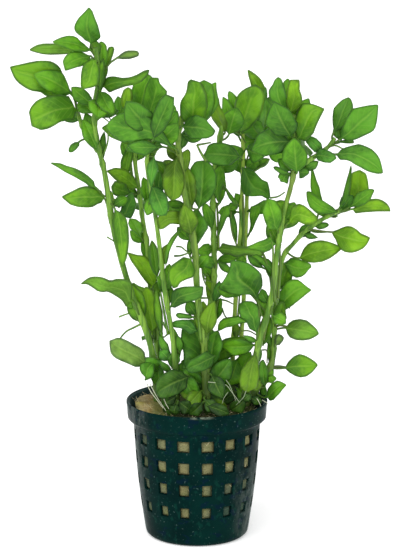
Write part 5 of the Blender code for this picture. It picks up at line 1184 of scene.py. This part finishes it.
def wall_radius(height):
    low, high = BASE_ROUNDING, POT_HEIGHT - COLLAR_HEIGHT
    share = min(max((height - low) / (high - low), 0), 1)
    straight = WALL_BASE_RADIUS + (WALL_TOP_RADIUS - WALL_BASE_RADIUS) * share
    return straight + WALL_BULGE * math.sin(math.pi * share)


def pot_levels():
    """The levels of the pot's outer skin from the middle of its floor to its rim. Each is a radius, a height,
    half the angle of an opening there, and whether openings begin above it."""
    half = [math.radians(width) / 2 for width in OPENING_DEGREES]
    corner = WALL_BASE_RADIUS - BASE_ROUNDING
    levels = [(corner * share, 0, half[0], False) for share in FLOOR_RINGS]
    for turn in map(math.radians, ROUNDING_DEGREES):
        levels.append((corner + BASE_ROUNDING * math.sin(turn), BASE_ROUNDING * (1 - math.cos(turn)),
                       half[0], False))
    below = BASE_ROUNDING
    for middle, tall, width in zip(OPENING_ROWS, OPENING_HEIGHTS, half):
        low, high = middle - tall / 2, middle + tall / 2
        levels.append(((wall_radius(below) + wall_radius(low)) / 2, (below + low) / 2, width, False))
        levels.append((wall_radius(low), low, width, True))
        levels.append((wall_radius(high), high, width, False))
        below = high
    ledge = POT_HEIGHT - COLLAR_HEIGHT
    collar = [(wall_radius(ledge - like), ledge - below) for like, below in LEDGE_LEVELS]
    collar += [(RIM_RADIUS - inside, ledge + above) for inside, above in COLLAR_PROFILE]
    return levels + [(radius, height, half[-1], False) for radius, height in collar]


def level_angles(half):
    """The angles of the points round one level: steps over each opening and over the strip beside it."""
    step = math.tau / OPENING_COLUMNS
    first = math.radians(FIRST_COLUMN_DEGREES) - math.pi / 2
    angles = []
    for column in range(OPENING_COLUMNS):
        middle = first + step * column
        angles += [middle - half + 2 * half * i / OPENING_STEPS for i in range(OPENING_STEPS)]
        angles += [middle + half + (step - 2 * half) * i / STRIP_STEPS for i in range(STRIP_STEPS)]
    return angles


def net_pot(finish):
    """The basket: a skin with openings, thickened inwards, its edges softened."""
    shape = Shape()
    column = OPENING_STEPS + STRIP_STEPS
    size = OPENING_COLUMNS * column
    levels = pot_levels()
    shape.ring([Vector((0, 0, 0))], (0, 0, 0))
    for radius, height, half, _ in levels:
        shape.ring([around(radius, angle, height) for angle in level_angles(half)], (0, 0, 0))
    for side in range(size):
        shape.face((0, 1 + (side + 1) % size, 1 + side))
    for level, (_, _, _, opens) in enumerate(levels[:-1]):
        for side in range(size):
            if not (opens and side % column < OPENING_STEPS):
                a, b = 1 + level * size + side, 1 + level * size + (side + 1) % size
                shape.face((a, b, b + size, a + size))
    pot = build("pot_basket", shape, [finish], "pot_plastic", "net_pot")
    thick = pot.modifiers.new("thickness", "SOLIDIFY")
    thick.thickness = WALL
    thick.offset = -1
    thick.use_even_offset = True
    soft = pot.modifiers.new("soft edges", "BEVEL")
    soft.limit_method = "ANGLE"
    soft.angle_limit = math.radians(EDGE_DEGREES)
    soft.width = EDGE_ROUNDING
    soft.segments = EDGE_STEPS
    soft.harden_normals = True


def opening_share(angle, height):
    """1 in the middle of an opening of the pot, 0 behind its wall."""
    step = math.tau / OPENING_COLUMNS
    off = (angle - math.radians(FIRST_COLUMN_DEGREES) + math.pi / 2 + step / 2) % step - step / 2
    share = 0
    for middle, tall, degrees in zip(OPENING_ROWS, OPENING_HEIGHTS, OPENING_DEGREES):
        wide = math.radians(degrees) / 2
        inside = 1 - max(abs(off) / wide, abs(height - middle) / (tall / 2))
        share = max(share, smooth_step(0, OPENING_EASE, inside))
    return share


def lumps(spot, sizes):
    """The height of packed lumps of several sizes at a spot."""
    return sum(noise.noise(spot * fine + Vector(shift)) * high for fine, high, shift in sizes)


def plug_radius(angle, height):
    """The plug's radius, with the lumps of its packed fibres, which bulge into the pot's openings."""
    wall = wall_radius(height)
    bulge = PLUG_BULGE * opening_share(angle, height)
    return wall - WALL - PLUG_INSET + lumps(around(wall, angle, height), SIDE_LUMPS) + bulge


def heap_rise(spot):
    """How far the plug's top swells up on the left, towards the rim."""
    away = math.hypot(spot.x - HEAP_X, (spot.y - HEAP_Y) / HEAP_STRETCH)
    return HEAP_RISE * (1 - smooth_step(HEAP_REACH / 3, HEAP_REACH, away))


def rockwool_plug(finish):
    """The plug: a lumpy tapered block with an uneven top, heaped up on the left."""
    shape = Shape()
    angles = [math.tau * i / PLUG_SIDES for i in range(PLUG_SIDES)]
    foot = POT_FLOOR + GAP
    for level in range(PLUG_LEVELS + 1):
        height = foot + (PLUG_TOP - PLUG_ROUNDING - foot) * level / PLUG_LEVELS
        inset = PLUG_ROUNDING * (1 - smooth_step(0, PLUG_FOOT_SHARE, level / PLUG_LEVELS))
        shape.ring([around(plug_radius(angle, height) - inset, angle, height) for angle in angles], (0, 0, 0))
    for share in PLUG_TOP_RINGS:
        ring = []
        for angle in angles:
            spot = around(plug_radius(angle, PLUG_TOP) * share, angle, 0)
            rise = lumps(spot, TOP_LUMPS)
            heap = heap_rise(spot)
            spot *= 1 + HEAP_SPREAD * heap
            spot.z = PLUG_TOP - PLUG_EDGE_DROP * smooth_step(PLUG_EDGE_SHARE, 1, share) + rise + heap
            ring.append(spot)
        shape.ring(ring, (0, 0, 1))
    shape.tube(0, PLUG_LEVELS + 1 + len(PLUG_TOP_RINGS), PLUG_SIDES)
    build("rockwool", shape, [finish], "rockwool", "rockwool_plug")


def rockwool_fibres(finish):
    """Loose short fibres on the plug's top and side."""
    shape = Shape()
    draws = random.Random(FIBRE_SEED)
    for _ in range(FIBRES):
        angle = draws.uniform(0, math.tau)
        if draws.random() < FIBRES_ON_TOP:
            radius = plug_radius(angle, PLUG_TOP) * math.sqrt(draws.random())
            spot = around(radius, angle, PLUG_TOP)
            spot.z += heap_rise(spot)
            way = Vector((draws.uniform(-1, 1), draws.uniform(-1, 1), draws.uniform(*FIBRE_TILT)))
        else:
            height = draws.uniform(*FIBRE_HEIGHTS)
            spot = around(plug_radius(angle, height) + FIBRE_CLEAR, angle, height)
            way = around(draws.uniform(-1, 1), angle + math.pi / 2, draws.uniform(-1, 1))
        bend = Vector((draws.uniform(-1, 1), draws.uniform(-1, 1), draws.uniform(*FIBRE_CURL))) * FIBRE_BEND
        length = draws.uniform(*FIBRE_LENGTHS)
        course = [spot + way.normalized() * length * t + bend * t * t for t in FIBRE_SHARES]
        add_tube(shape, course, tapered(FIBRE_RADIUS, 0), FIBRE_SIDES, draws.random())
    build("rockwool_fibres", shape, [finish], "rockwool")


def roots(finish):
    shape = Shape()
    for number, (radius, route) in enumerate(ROOTS):
        course = smooth_course([place(*stop) for stop in route], ROOT_STEPS)
        add_tube(shape, course, tapered(radius * MM, ROOT_TAPER), ROOT_SIDES, number / len(ROOTS))
    build("root_fibres", shape, [finish], "rockwool")


# Materials

class Paint:
    """A material being put together from nodes round one Principled shader, and its colour so far."""

    def __init__(self, name, colour=None, **sockets):
        self.made = bpy.data.materials.new(name)
        self.made.use_nodes = True
        self.colour = colour
        self.nodes, self.links = self.made.node_tree.nodes, self.made.node_tree.links
        self.shader = self.nodes["Principled BSDF"]
        for socket, value in sockets.items():
            self.socket(socket.replace("_", " "), value)

    def put(self, socket, value):
        if isinstance(value, bpy.types.NodeSocket):
            self.links.new(value, socket)
        elif isinstance(value, tuple) and len(value) == 3 and socket.type == "RGBA":
            socket.default_value = (*value, 1)
        else:
            socket.default_value = value

    def socket(self, name, value):
        self.put(self.shader.inputs[name], value)

    def node(self, kind, inputs=(), **settings):
        made = self.nodes.new("ShaderNode" + kind)
        for key, value in settings.items():
            setattr(made, key, value)
        for key, value in dict(inputs).items():
            self.put(made.inputs[key], value)
        return made

    def math(self, operation, *values):
        return self.node("Math", dict(enumerate(values)), operation=operation).outputs[0]

    def plus(self, first, second):
        return self.math("ADD", first, second)

    def times(self, *values):
        """The product of these values."""
        product = values[0]
        for value in values[1:]:
            product = self.math("MULTIPLY", product, value)
        return product

    def steps(self, low, high, value, to_low=0.0, to_high=1.0):
        """Runs smoothly from to_low to to_high as value goes from low to high."""
        return self.node("MapRange", {0: value, 1: low, 2: high, 3: to_low, 4: to_high},
                         interpolation_type="SMOOTHSTEP").outputs[0]

    def base(self, share, first, second):
        """Starts the colour, from first where share is 0 to second where it is 1."""
        self.colour = self.node("Mix", {0: share, 6: first, 7: second}, data_type="RGBA").outputs[2]

    def coat(self, tint, *shares):
        """Lays a tint over the colour, as much as the product of these shares."""
        self.base(self.times(*shares), self.colour, tint)

    def place(self, stretch=(1, 1, 1)):
        spot = self.node("TexCoord").outputs["Object"]
        return self.node("VectorMath", {0: spot, 1: stretch}, operation="MULTIPLY").outputs[0]

    def noise(self, scale, detail=2.0, stretch=(1, 1, 1), roughness=0.5):
        return self.node("TexNoise", {"Vector": self.place(stretch), "Scale": scale, "Detail": detail,
                                      "Roughness": roughness}).outputs[0]

    def attribute(self, name):
        return self.node("Attribute", attribute_name=name).outputs["Fac"]

    def parts(self, vector):
        return self.node("SeparateXYZ", {0: vector}).outputs

    def three(self):
        """The three numbers that a piece's points keep for their paint."""
        return self.parts(self.node("Attribute", attribute_name="paint").outputs["Vector"])

    def finish(self, height=None, distance=0.0002, strength=0.5):
        self.socket("Base Color", self.colour)
        if height is not None:
            bump = self.node("Bump", {"Height": height, "Distance": distance, "Strength": strength})
            self.links.new(bump.outputs["Normal"], self.shader.inputs["Normal"])
        return self.made


GREENS = {
    # The lit and the deep colour of each shade of leaf. A leaf runs between them in clouds of its own
    # mottling and painted shade. Bright, mid, dark, deep and shadow step one green down from painted light
    # to painted shade, partly also the leaves' own darker greens; yellow, light, olive, blue and pale are
    # mainly hues of their own.
    "bright": ((0.134, 0.328, 0.011), (0.072, 0.234, 0.010)),
    "yellow": ((0.192, 0.410, 0.011), (0.120, 0.310, 0.010)),
    "light": ((0.146, 0.345, 0.025), (0.100, 0.252, 0.019)),
    "mid": ((0.116, 0.330, 0.013), (0.066, 0.234, 0.011)),
    "dark": ((0.086, 0.270, 0.016), (0.049, 0.183, 0.013)),
    "deep": ((0.066, 0.212, 0.014), (0.037, 0.139, 0.011)),
    "shadow": ((0.046, 0.128, 0.013), (0.021, 0.072, 0.009)),
    "olive": ((0.125, 0.265, 0.011), (0.074, 0.175, 0.009)),
    "blue": ((0.074, 0.256, 0.022), (0.046, 0.182, 0.017)),
    "pale": ((0.190, 0.350, 0.056), (0.120, 0.250, 0.040)),
}

# How strong a leaf's dark rim is and how broad in mm, on the bright shades and on the others
BRIGHT_SHADES = ("bright", "yellow", "light", "pale")
BRIGHT_RIM = (0.82, 0.65)
OTHER_RIM = (0.64, 0.46)

# The other colours of the leaves and stems
VEIN_PALE = (0.30, 0.46, 0.08)
UNDERSIDE_PALE = (0.20, 0.32, 0.10)
PETIOLE_GREEN = (0.070, 0.140, 0.022)
STEM_GREENS = ((0.062, 0.172, 0.014), (0.205, 0.385, 0.044))
STEM_LINES = (0.046, 0.130, 0.012)
STEM_BROWN = (0.130, 0.110, 0.030)
STEM_YELLOW = (0.310, 0.460, 0.060)
# Painted shade at the stems' flanks and low near the pot's mouth
STEM_FLANK_SHADE = (0.040, 0.100, 0.014)
STEM_FOOT_SHADE = (0.036, 0.062, 0.014)

# The colours of the pot
POT_GREENS = ((0.0003, 0.0090, 0.0086), (0.0006, 0.0170, 0.0142))
POT_BLUE = (0.0010, 0.0090, 0.0210)
POT_TEAL = (0.0020, 0.0270, 0.0200)
POT_FLECKS = (0.085, 0.150, 0.135)
# Scuffs with painted sheen at the edges, a painted highlight on the lip and painted light inside the collar
POT_SCUFFS_AND_SHEEN = (0.105, 0.125, 0.112)
POT_LIP_HIGHLIGHT = (0.20, 0.24, 0.17)
POT_INSIDE_LIGHT = (0.036, 0.074, 0.072)
POT_SHEEN = 0.35

# The colours of the rockwool, its fibres and the roots
WOOL = ((0.230, 0.200, 0.080), (0.480, 0.430, 0.220))
WOOL_RUST = (0.290, 0.165, 0.040)
# Painted shade: between the fibres, behind the pot's wall, deeper in places, and with algae on the top
WOOL_GAP_SHADE = (0.060, 0.050, 0.022)
WOOL_YELLOW = (0.330, 0.290, 0.040)
WOOL_BROWN = (0.300, 0.200, 0.100)
WOOL_SHADE = (0.070, 0.095, 0.036)
WOOL_DEEP_SHADE = (0.014, 0.045, 0.036)
WOOL_MOSS = (0.105, 0.125, 0.026)
WOOL_ALGAE_AND_SHADE = (0.030, 0.042, 0.012)
FIBRE_COLOURS = ((0.36, 0.30, 0.13), (0.62, 0.56, 0.36))
ROOT_COLOURS = ((0.42, 0.47, 0.30), (0.70, 0.70, 0.55))
ROOT_AGED = (0.150, 0.250, 0.110)


def scaled(colour, *shares):
    """A colour with its red, green and blue multiplied by these shares."""
    return tuple(value * share for value, share in zip(colour, shares))


def between(first, second, share):
    return tuple((1 - share) * start + share * end for start, end in zip(first, second))


def leaf_paint(shade):
    """A shade of leaf: its own mottling with painted shade in clouds, at its base and in the fold by its
    midrib, pale veins, a dull underside and a dark rim.
    """
    lit, deep = GREENS[shade]
    pale = between(lit, VEIN_PALE, 0.4)
    strength, breadth = BRIGHT_RIM if shade in BRIGHT_SHADES else OTHER_RIM
    paint = Paint("leaf_" + shade, Roughness=0.45, Subsurface_Weight=0.12, Subsurface_Scale=0.0006,
                  Subsurface_Radius=(0.4, 1.0, 0.15), Specular_IOR_Level=0.15)
    along, over, tone = paint.three()
    out = paint.math("ABSOLUTE", over)
    # Clouds between the deep and the lit green: the leaf's own mottling and painted shade, with painted shade
    # towards the base
    coarse, fine = paint.noise(150, 2), paint.noise(420, 3, roughness=0.6)
    mottle_and_shade = paint.plus(paint.times(coarse, 1.1), paint.times(fine, 0.7))
    mottle_and_shade = paint.plus(paint.times(tone, 0.25), mottle_and_shade)
    mottle_and_shade = paint.plus(mottle_and_shade, paint.steps(0.0, 0.8, along, -0.24, 0.16))
    paint.base(paint.steps(0.74, 1.32, mottle_and_shade), scaled(deep, 0.68, 0.68, 0.68), scaled(lit, 1.02, 1.02, 1.02))
    phase = paint.times(paint.math("SUBTRACT", along, paint.times(out, VEIN_SLANT)), SIDE_VEINS)
    near = paint.math("ABSOLUTE", paint.math("SUBTRACT", paint.math("FRACT", phase), 0.5))
    vein = paint.times(paint.steps(0.38, 0.5, near), paint.steps(1.0, 0.55, out))
    paint.coat(pale, vein, 0.24)
    # Painted shade in the fold on either side of the midrib
    paint.coat(deep, paint.steps(0.30, 0.14, out), paint.steps(0.06, 0.14, out), 0.35)
    paint.coat(pale, paint.steps(0.12, 0.0, out), paint.steps(1.0, 0.6, along, 0.2, 1.0), 0.45)
    paint.coat(between(lit, UNDERSIDE_PALE, 0.38), paint.steps(0.5, 1.0, paint.attribute("under")), 0.45)
    rim = paint.steps(breadth + 0.60, breadth - 0.20, paint.attribute("edge"), 0.0, strength)
    paint.coat(scaled(deep, 0.42, 0.36, 0.9), rim, paint.steps(0.30, 0.60, paint.noise(210, 2), 0.55, 1.0))
    paint.coat(PETIOLE_GREEN, paint.steps(0.0, -0.25, along))
    height = paint.plus(paint.times(vein, -0.6), paint.times(paint.noise(1500, 2), 0.5))
    return paint.finish(height, 0.00012)


def stem_paint():
    """The stems: streaked green, browned or yellow by their tone, with painted shade at their flanks as the
    view sees them and low down near the pot's mouth.
    """
    paint = Paint("stem", Roughness=0.42, Subsurface_Weight=0.10, Subsurface_Scale=0.0008,
                  Subsurface_Radius=(0.5, 1.0, 0.2), Specular_IOR_Level=0.25)
    _, flank_shade, tone = paint.three()
    streaks = paint.noise(420, 3, (1, 1, 0.09))
    paint.base(paint.steps(0.30, 0.66, streaks), *STEM_GREENS)
    paint.coat(STEM_LINES, paint.steps(0.50, 0.62, paint.noise(1300, 2, (1, 1, 0.035)), 0.0, 0.55))
    browned = paint.plus(paint.times(tone, 0.40), paint.noise(60, 2, (1, 1, 0.5)))
    paint.coat(STEM_BROWN, paint.steps(0.62, 0.95, browned, 0.0, 0.6))
    paint.coat(STEM_YELLOW, paint.steps(-0.1, -1.0, tone, 0.0, 0.8), paint.steps(0.35, 0.55, streaks))
    # Painted shade at the flanks as the view sees them, all round on the slim strokes
    paint.coat(STEM_FLANK_SHADE, paint.steps(0.68, 1.0, flank_shade, 0.0, 0.65))
    # Painted shade low on the stems, near the pot's mouth
    _, _, high = paint.parts(paint.place())
    paint.coat(STEM_FOOT_SHADE, paint.steps(0.078, 0.060, high, 0.0, 0.65))
    return paint.finish(streaks)


def pot_paint():
    """The pot: mottled dark green with pale flecks, scuffs with painted sheen at its left edge and low on its
    right, a painted highlight on the front of its lip and painted light inside its collar.
    """
    paint = Paint("pot_plastic", Specular_IOR_Level=0.02, Sheen_Roughness=0.16,
                  Sheen_Tint=(0.85, 1.0, 0.97))
    across, deep, high = paint.parts(paint.place())
    paint.base(paint.steps(0.3, 0.7, paint.noise(45, 4, roughness=0.65)), *POT_GREENS)
    paint.coat(POT_BLUE, paint.steps(0.56, 0.66, paint.noise(210, 3, (1, 1, 1.6)), 0.0, 0.7))
    paint.coat(POT_TEAL, paint.steps(0.57, 0.68, paint.noise(330, 3, (1.4, 1.4, 1)), 0.0, 0.8))
    # Scuffs and painted sheen at the left edge and low on the right
    right = paint.times(paint.steps(0.0125, 0.0200, across), paint.steps(0.044, 0.014, high))
    scuffs_and_sheen = paint.math("MAXIMUM", right, paint.steps(-0.0175, -0.0235, across))
    flecks = paint.plus(paint.noise(1150, 3, roughness=0.6), paint.times(scuffs_and_sheen, 0.06))
    paint.coat(POT_FLECKS, paint.steps(0.64, 0.71, flecks, 0.0, 0.50))
    paint.coat(POT_SCUFFS_AND_SHEEN, paint.steps(0.40, 0.62, paint.noise(300, 4, (1, 1, 0.5), 0.7)), scuffs_and_sheen, 0.45)
    # A painted highlight along the front of the lip
    off_middle = paint.math("ABSOLUTE", paint.math("SUBTRACT", across, 0.0010))
    lip_highlight = paint.times(paint.steps(0.0529, 0.0537, high), paint.steps(-0.0205, -0.0235, deep))
    paint.coat(POT_LIP_HIGHLIGHT, lip_highlight, paint.steps(0.0065, 0.0025, off_middle),
               paint.steps(0.35, 0.60, paint.noise(500, 3)), 0.60)
    # Painted light on the inside of the collar
    off_axis = paint.plus(paint.times(across, across), paint.times(deep, deep))
    paint.coat(POT_INSIDE_LIGHT, paint.steps(0.000730, 0.000715, off_axis), paint.steps(0.0480, 0.0490, high), 0.8)
    ledge = paint.times(paint.steps(0.0435, 0.0450, high), paint.steps(0.0492, 0.0476, high))
    paint.socket("Sheen Weight", paint.times(paint.math("SUBTRACT", 1.0, ledge), POT_SHEEN))
    paint.socket("Roughness", paint.steps(0.3, 0.7, paint.noise(120, 3), 0.30, 0.48))
    return paint.finish(paint.noise(900, 2), 0.00008, 0.4)


def rockwool_paint():
    """The plug: fibrous, beige and rust on top, mossy at the left, with painted shade between its fibres,
    behind the pot's wall, deeper low on the right and at the left, and with algae on its top beside the heap.
    """
    paint = Paint("rockwool", Roughness=0.95, Specular_IOR_Level=0.2)
    across, _, high = paint.parts(paint.place())
    top = paint.steps(0.0470, 0.0485, high)
    below = paint.math("SUBTRACT", 1.0, top)
    threads = paint.noise(700, 3, (1, 1, 2.6), 0.7)
    paint.base(paint.steps(0.32, 0.68, paint.noise(110, 4, roughness=0.65)), *WOOL)
    left = paint.times(paint.steps(-0.0215, -0.0175, across),
                       paint.steps(0.35, 0.60, paint.noise(380, 4), 0.1, 0.8))
    rust = paint.math("MAXIMUM", paint.steps(0.56, 0.80, paint.noise(75, 2), 0.0, 0.75), left)
    paint.coat(WOOL_RUST, rust, top)
    # Painted shade in the gaps between the fibres
    paint.coat(WOOL_GAP_SHADE, paint.steps(0.30, 0.62, threads, 0.55, 0.0))
    tints = paint.noise(85, 2)
    paint.coat(WOOL_YELLOW, paint.steps(0.50, 0.64, tints, 0.0, 0.5))
    paint.coat(WOOL_BROWN, paint.steps(0.46, 0.34, tints, 0.0, 0.4))
    # Painted shade on the sides behind the pot's wall, deeper low on the right and at the left
    paint.coat(WOOL_SHADE, below, 0.55)
    right = paint.times(paint.steps(-0.001, 0.010, across), paint.steps(0.036, 0.016, high))
    lower = paint.times(paint.steps(-0.0080, -0.0140, across), paint.steps(0.036, 0.018, high, 0.0, 0.6))
    left = paint.math("MAXIMUM", lower, paint.steps(-0.0100, -0.0185, across, 0.0, 0.75))
    paint.coat(WOOL_DEEP_SHADE, paint.math("MAXIMUM", right, left), below, 0.88)
    paint.coat(WOOL_MOSS, top, paint.steps(-0.0200, -0.0150, across, 0.0, 0.80))
    # Algae and painted shade on the top, right of the heap
    ragged = paint.times(paint.math("SUBTRACT", paint.noise(160, 2), 0.5), 0.010)
    paint.coat(WOOL_ALGAE_AND_SHADE, top, paint.steps(-0.0145, -0.0085, paint.plus(across, ragged), 0.0, 0.85))
    return paint.finish(threads, 0.0006, 0.9)


def fibre_paint():
    paint = Paint("fibre", Roughness=0.8, Specular_IOR_Level=0.3)
    _, _, tone = paint.three()
    paint.base(tone, *FIBRE_COLOURS)
    return paint.finish()


def root_paint():
    paint = Paint("root", Roughness=0.6, Specular_IOR_Level=0.4)
    _, _, tone = paint.three()
    paint.base(paint.noise(300, 2), *ROOT_COLOURS)
    paint.coat(ROOT_AGED, paint.steps(0.30, 0.35, tone), paint.steps(0.80, 0.72, tone), 0.65)
    return paint.finish()


# The studio

def studio():
    far = STAGE_REACH
    mesh = bpy.data.meshes.new("floor")
    mesh.from_pydata([(-far, -far, 0), (far, -far, 0), (far, far, 0), (-far, far, 0)], [], [(0, 1, 2, 3)])
    paint = Paint("floor", (STAGE_GREY,) * 3, Roughness=0.9, Specular_IOR_Level=0.0,
                  Emission_Color=(1.0, 1.0, 1.0), Emission_Strength=STAGE_GLOW)
    mesh.materials.append(paint.finish())
    floor = bpy.data.objects.new("floor", mesh)
    floor.location.z = -STAGE_DROP
    bpy.context.scene.collection.objects.link(floor)
    world = bpy.data.worlds.new("studio")
    world.use_nodes = True
    world.node_tree.nodes["Background"].inputs["Color"].default_value = (1, 1, 1, 1)
    world.node_tree.nodes["Background"].inputs["Strength"].default_value = SKY
    bpy.context.scene.world = world
    for name, (strength, breadth, tilt, turn) in SUNS.items():
        light = bpy.data.lights.new(name, "SUN")
        light.energy = strength
        light.angle = math.radians(breadth)
        lamp = bpy.data.objects.new(name, light)
        lamp.rotation_euler = (math.radians(tilt), 0, math.radians(turn))
        bpy.context.scene.collection.objects.link(lamp)
    bpy.context.scene.view_settings.view_transform = "Standard"


def camera():
    view = bpy.data.cameras.new("view")
    view.sensor_fit = "VERTICAL"
    view.sensor_height = SENSOR_HEIGHT
    view.lens = VIEW_SCALE * SENSOR_HEIGHT / FRAME_HEIGHT
    eye = bpy.data.objects.new("view", view)
    eye.location = VIEW_POINT
    eye.rotation_euler = (math.pi / 2 - VIEW_TILT, 0, 0)
    bpy.context.scene.collection.objects.link(eye)
    bpy.context.scene.camera = eye


def plant():
    """The stems with their forks and strokes, the leaves fused to them, and the leaves that stand alone."""
    stem = stem_paint()
    shades = list(GREENS)
    greens = [leaf_paint(shade) for shade in shades]
    for name in STEMS:
        if not isinstance(STEMS[name].foot, tuple):
            continue
        family = [name] + [fork for fork in STEMS if STEMS[fork].foot == name]
        stalks = Shape()
        for each in family:
            add_stem(stalks, each)
        add_strokes(stalks, name)
        build("stalk_" + name, stalks, [stem], "stem_green", "stem_" + name)
        foliage = Shape()
        for key, leaf in LEAVES.items():
            if leaf.stem in family and key not in LEAF_PIECES:
                add_leaf(foliage, key, False, shades.index(leaf.shade))
        build("foliage_" + name, foliage, greens, "stem_green", "stem_" + name)
    for key in LEAF_PIECES:
        shade = LEAVES[key].shade
        blade = Shape()
        add_leaf(blade, key, True)
        finish = greens[shades.index(shade)]
        build("blade_" + key, blade, [finish], "leaf_" + LEAF_SLOTS.get(key, shade), "leaf_" + key)


def main():
    net_pot(pot_paint())
    rockwool_plug(rockwool_paint())
    rockwool_fibres(fibre_paint())
    roots(root_paint())
    plant()
    studio()
    camera()


main()
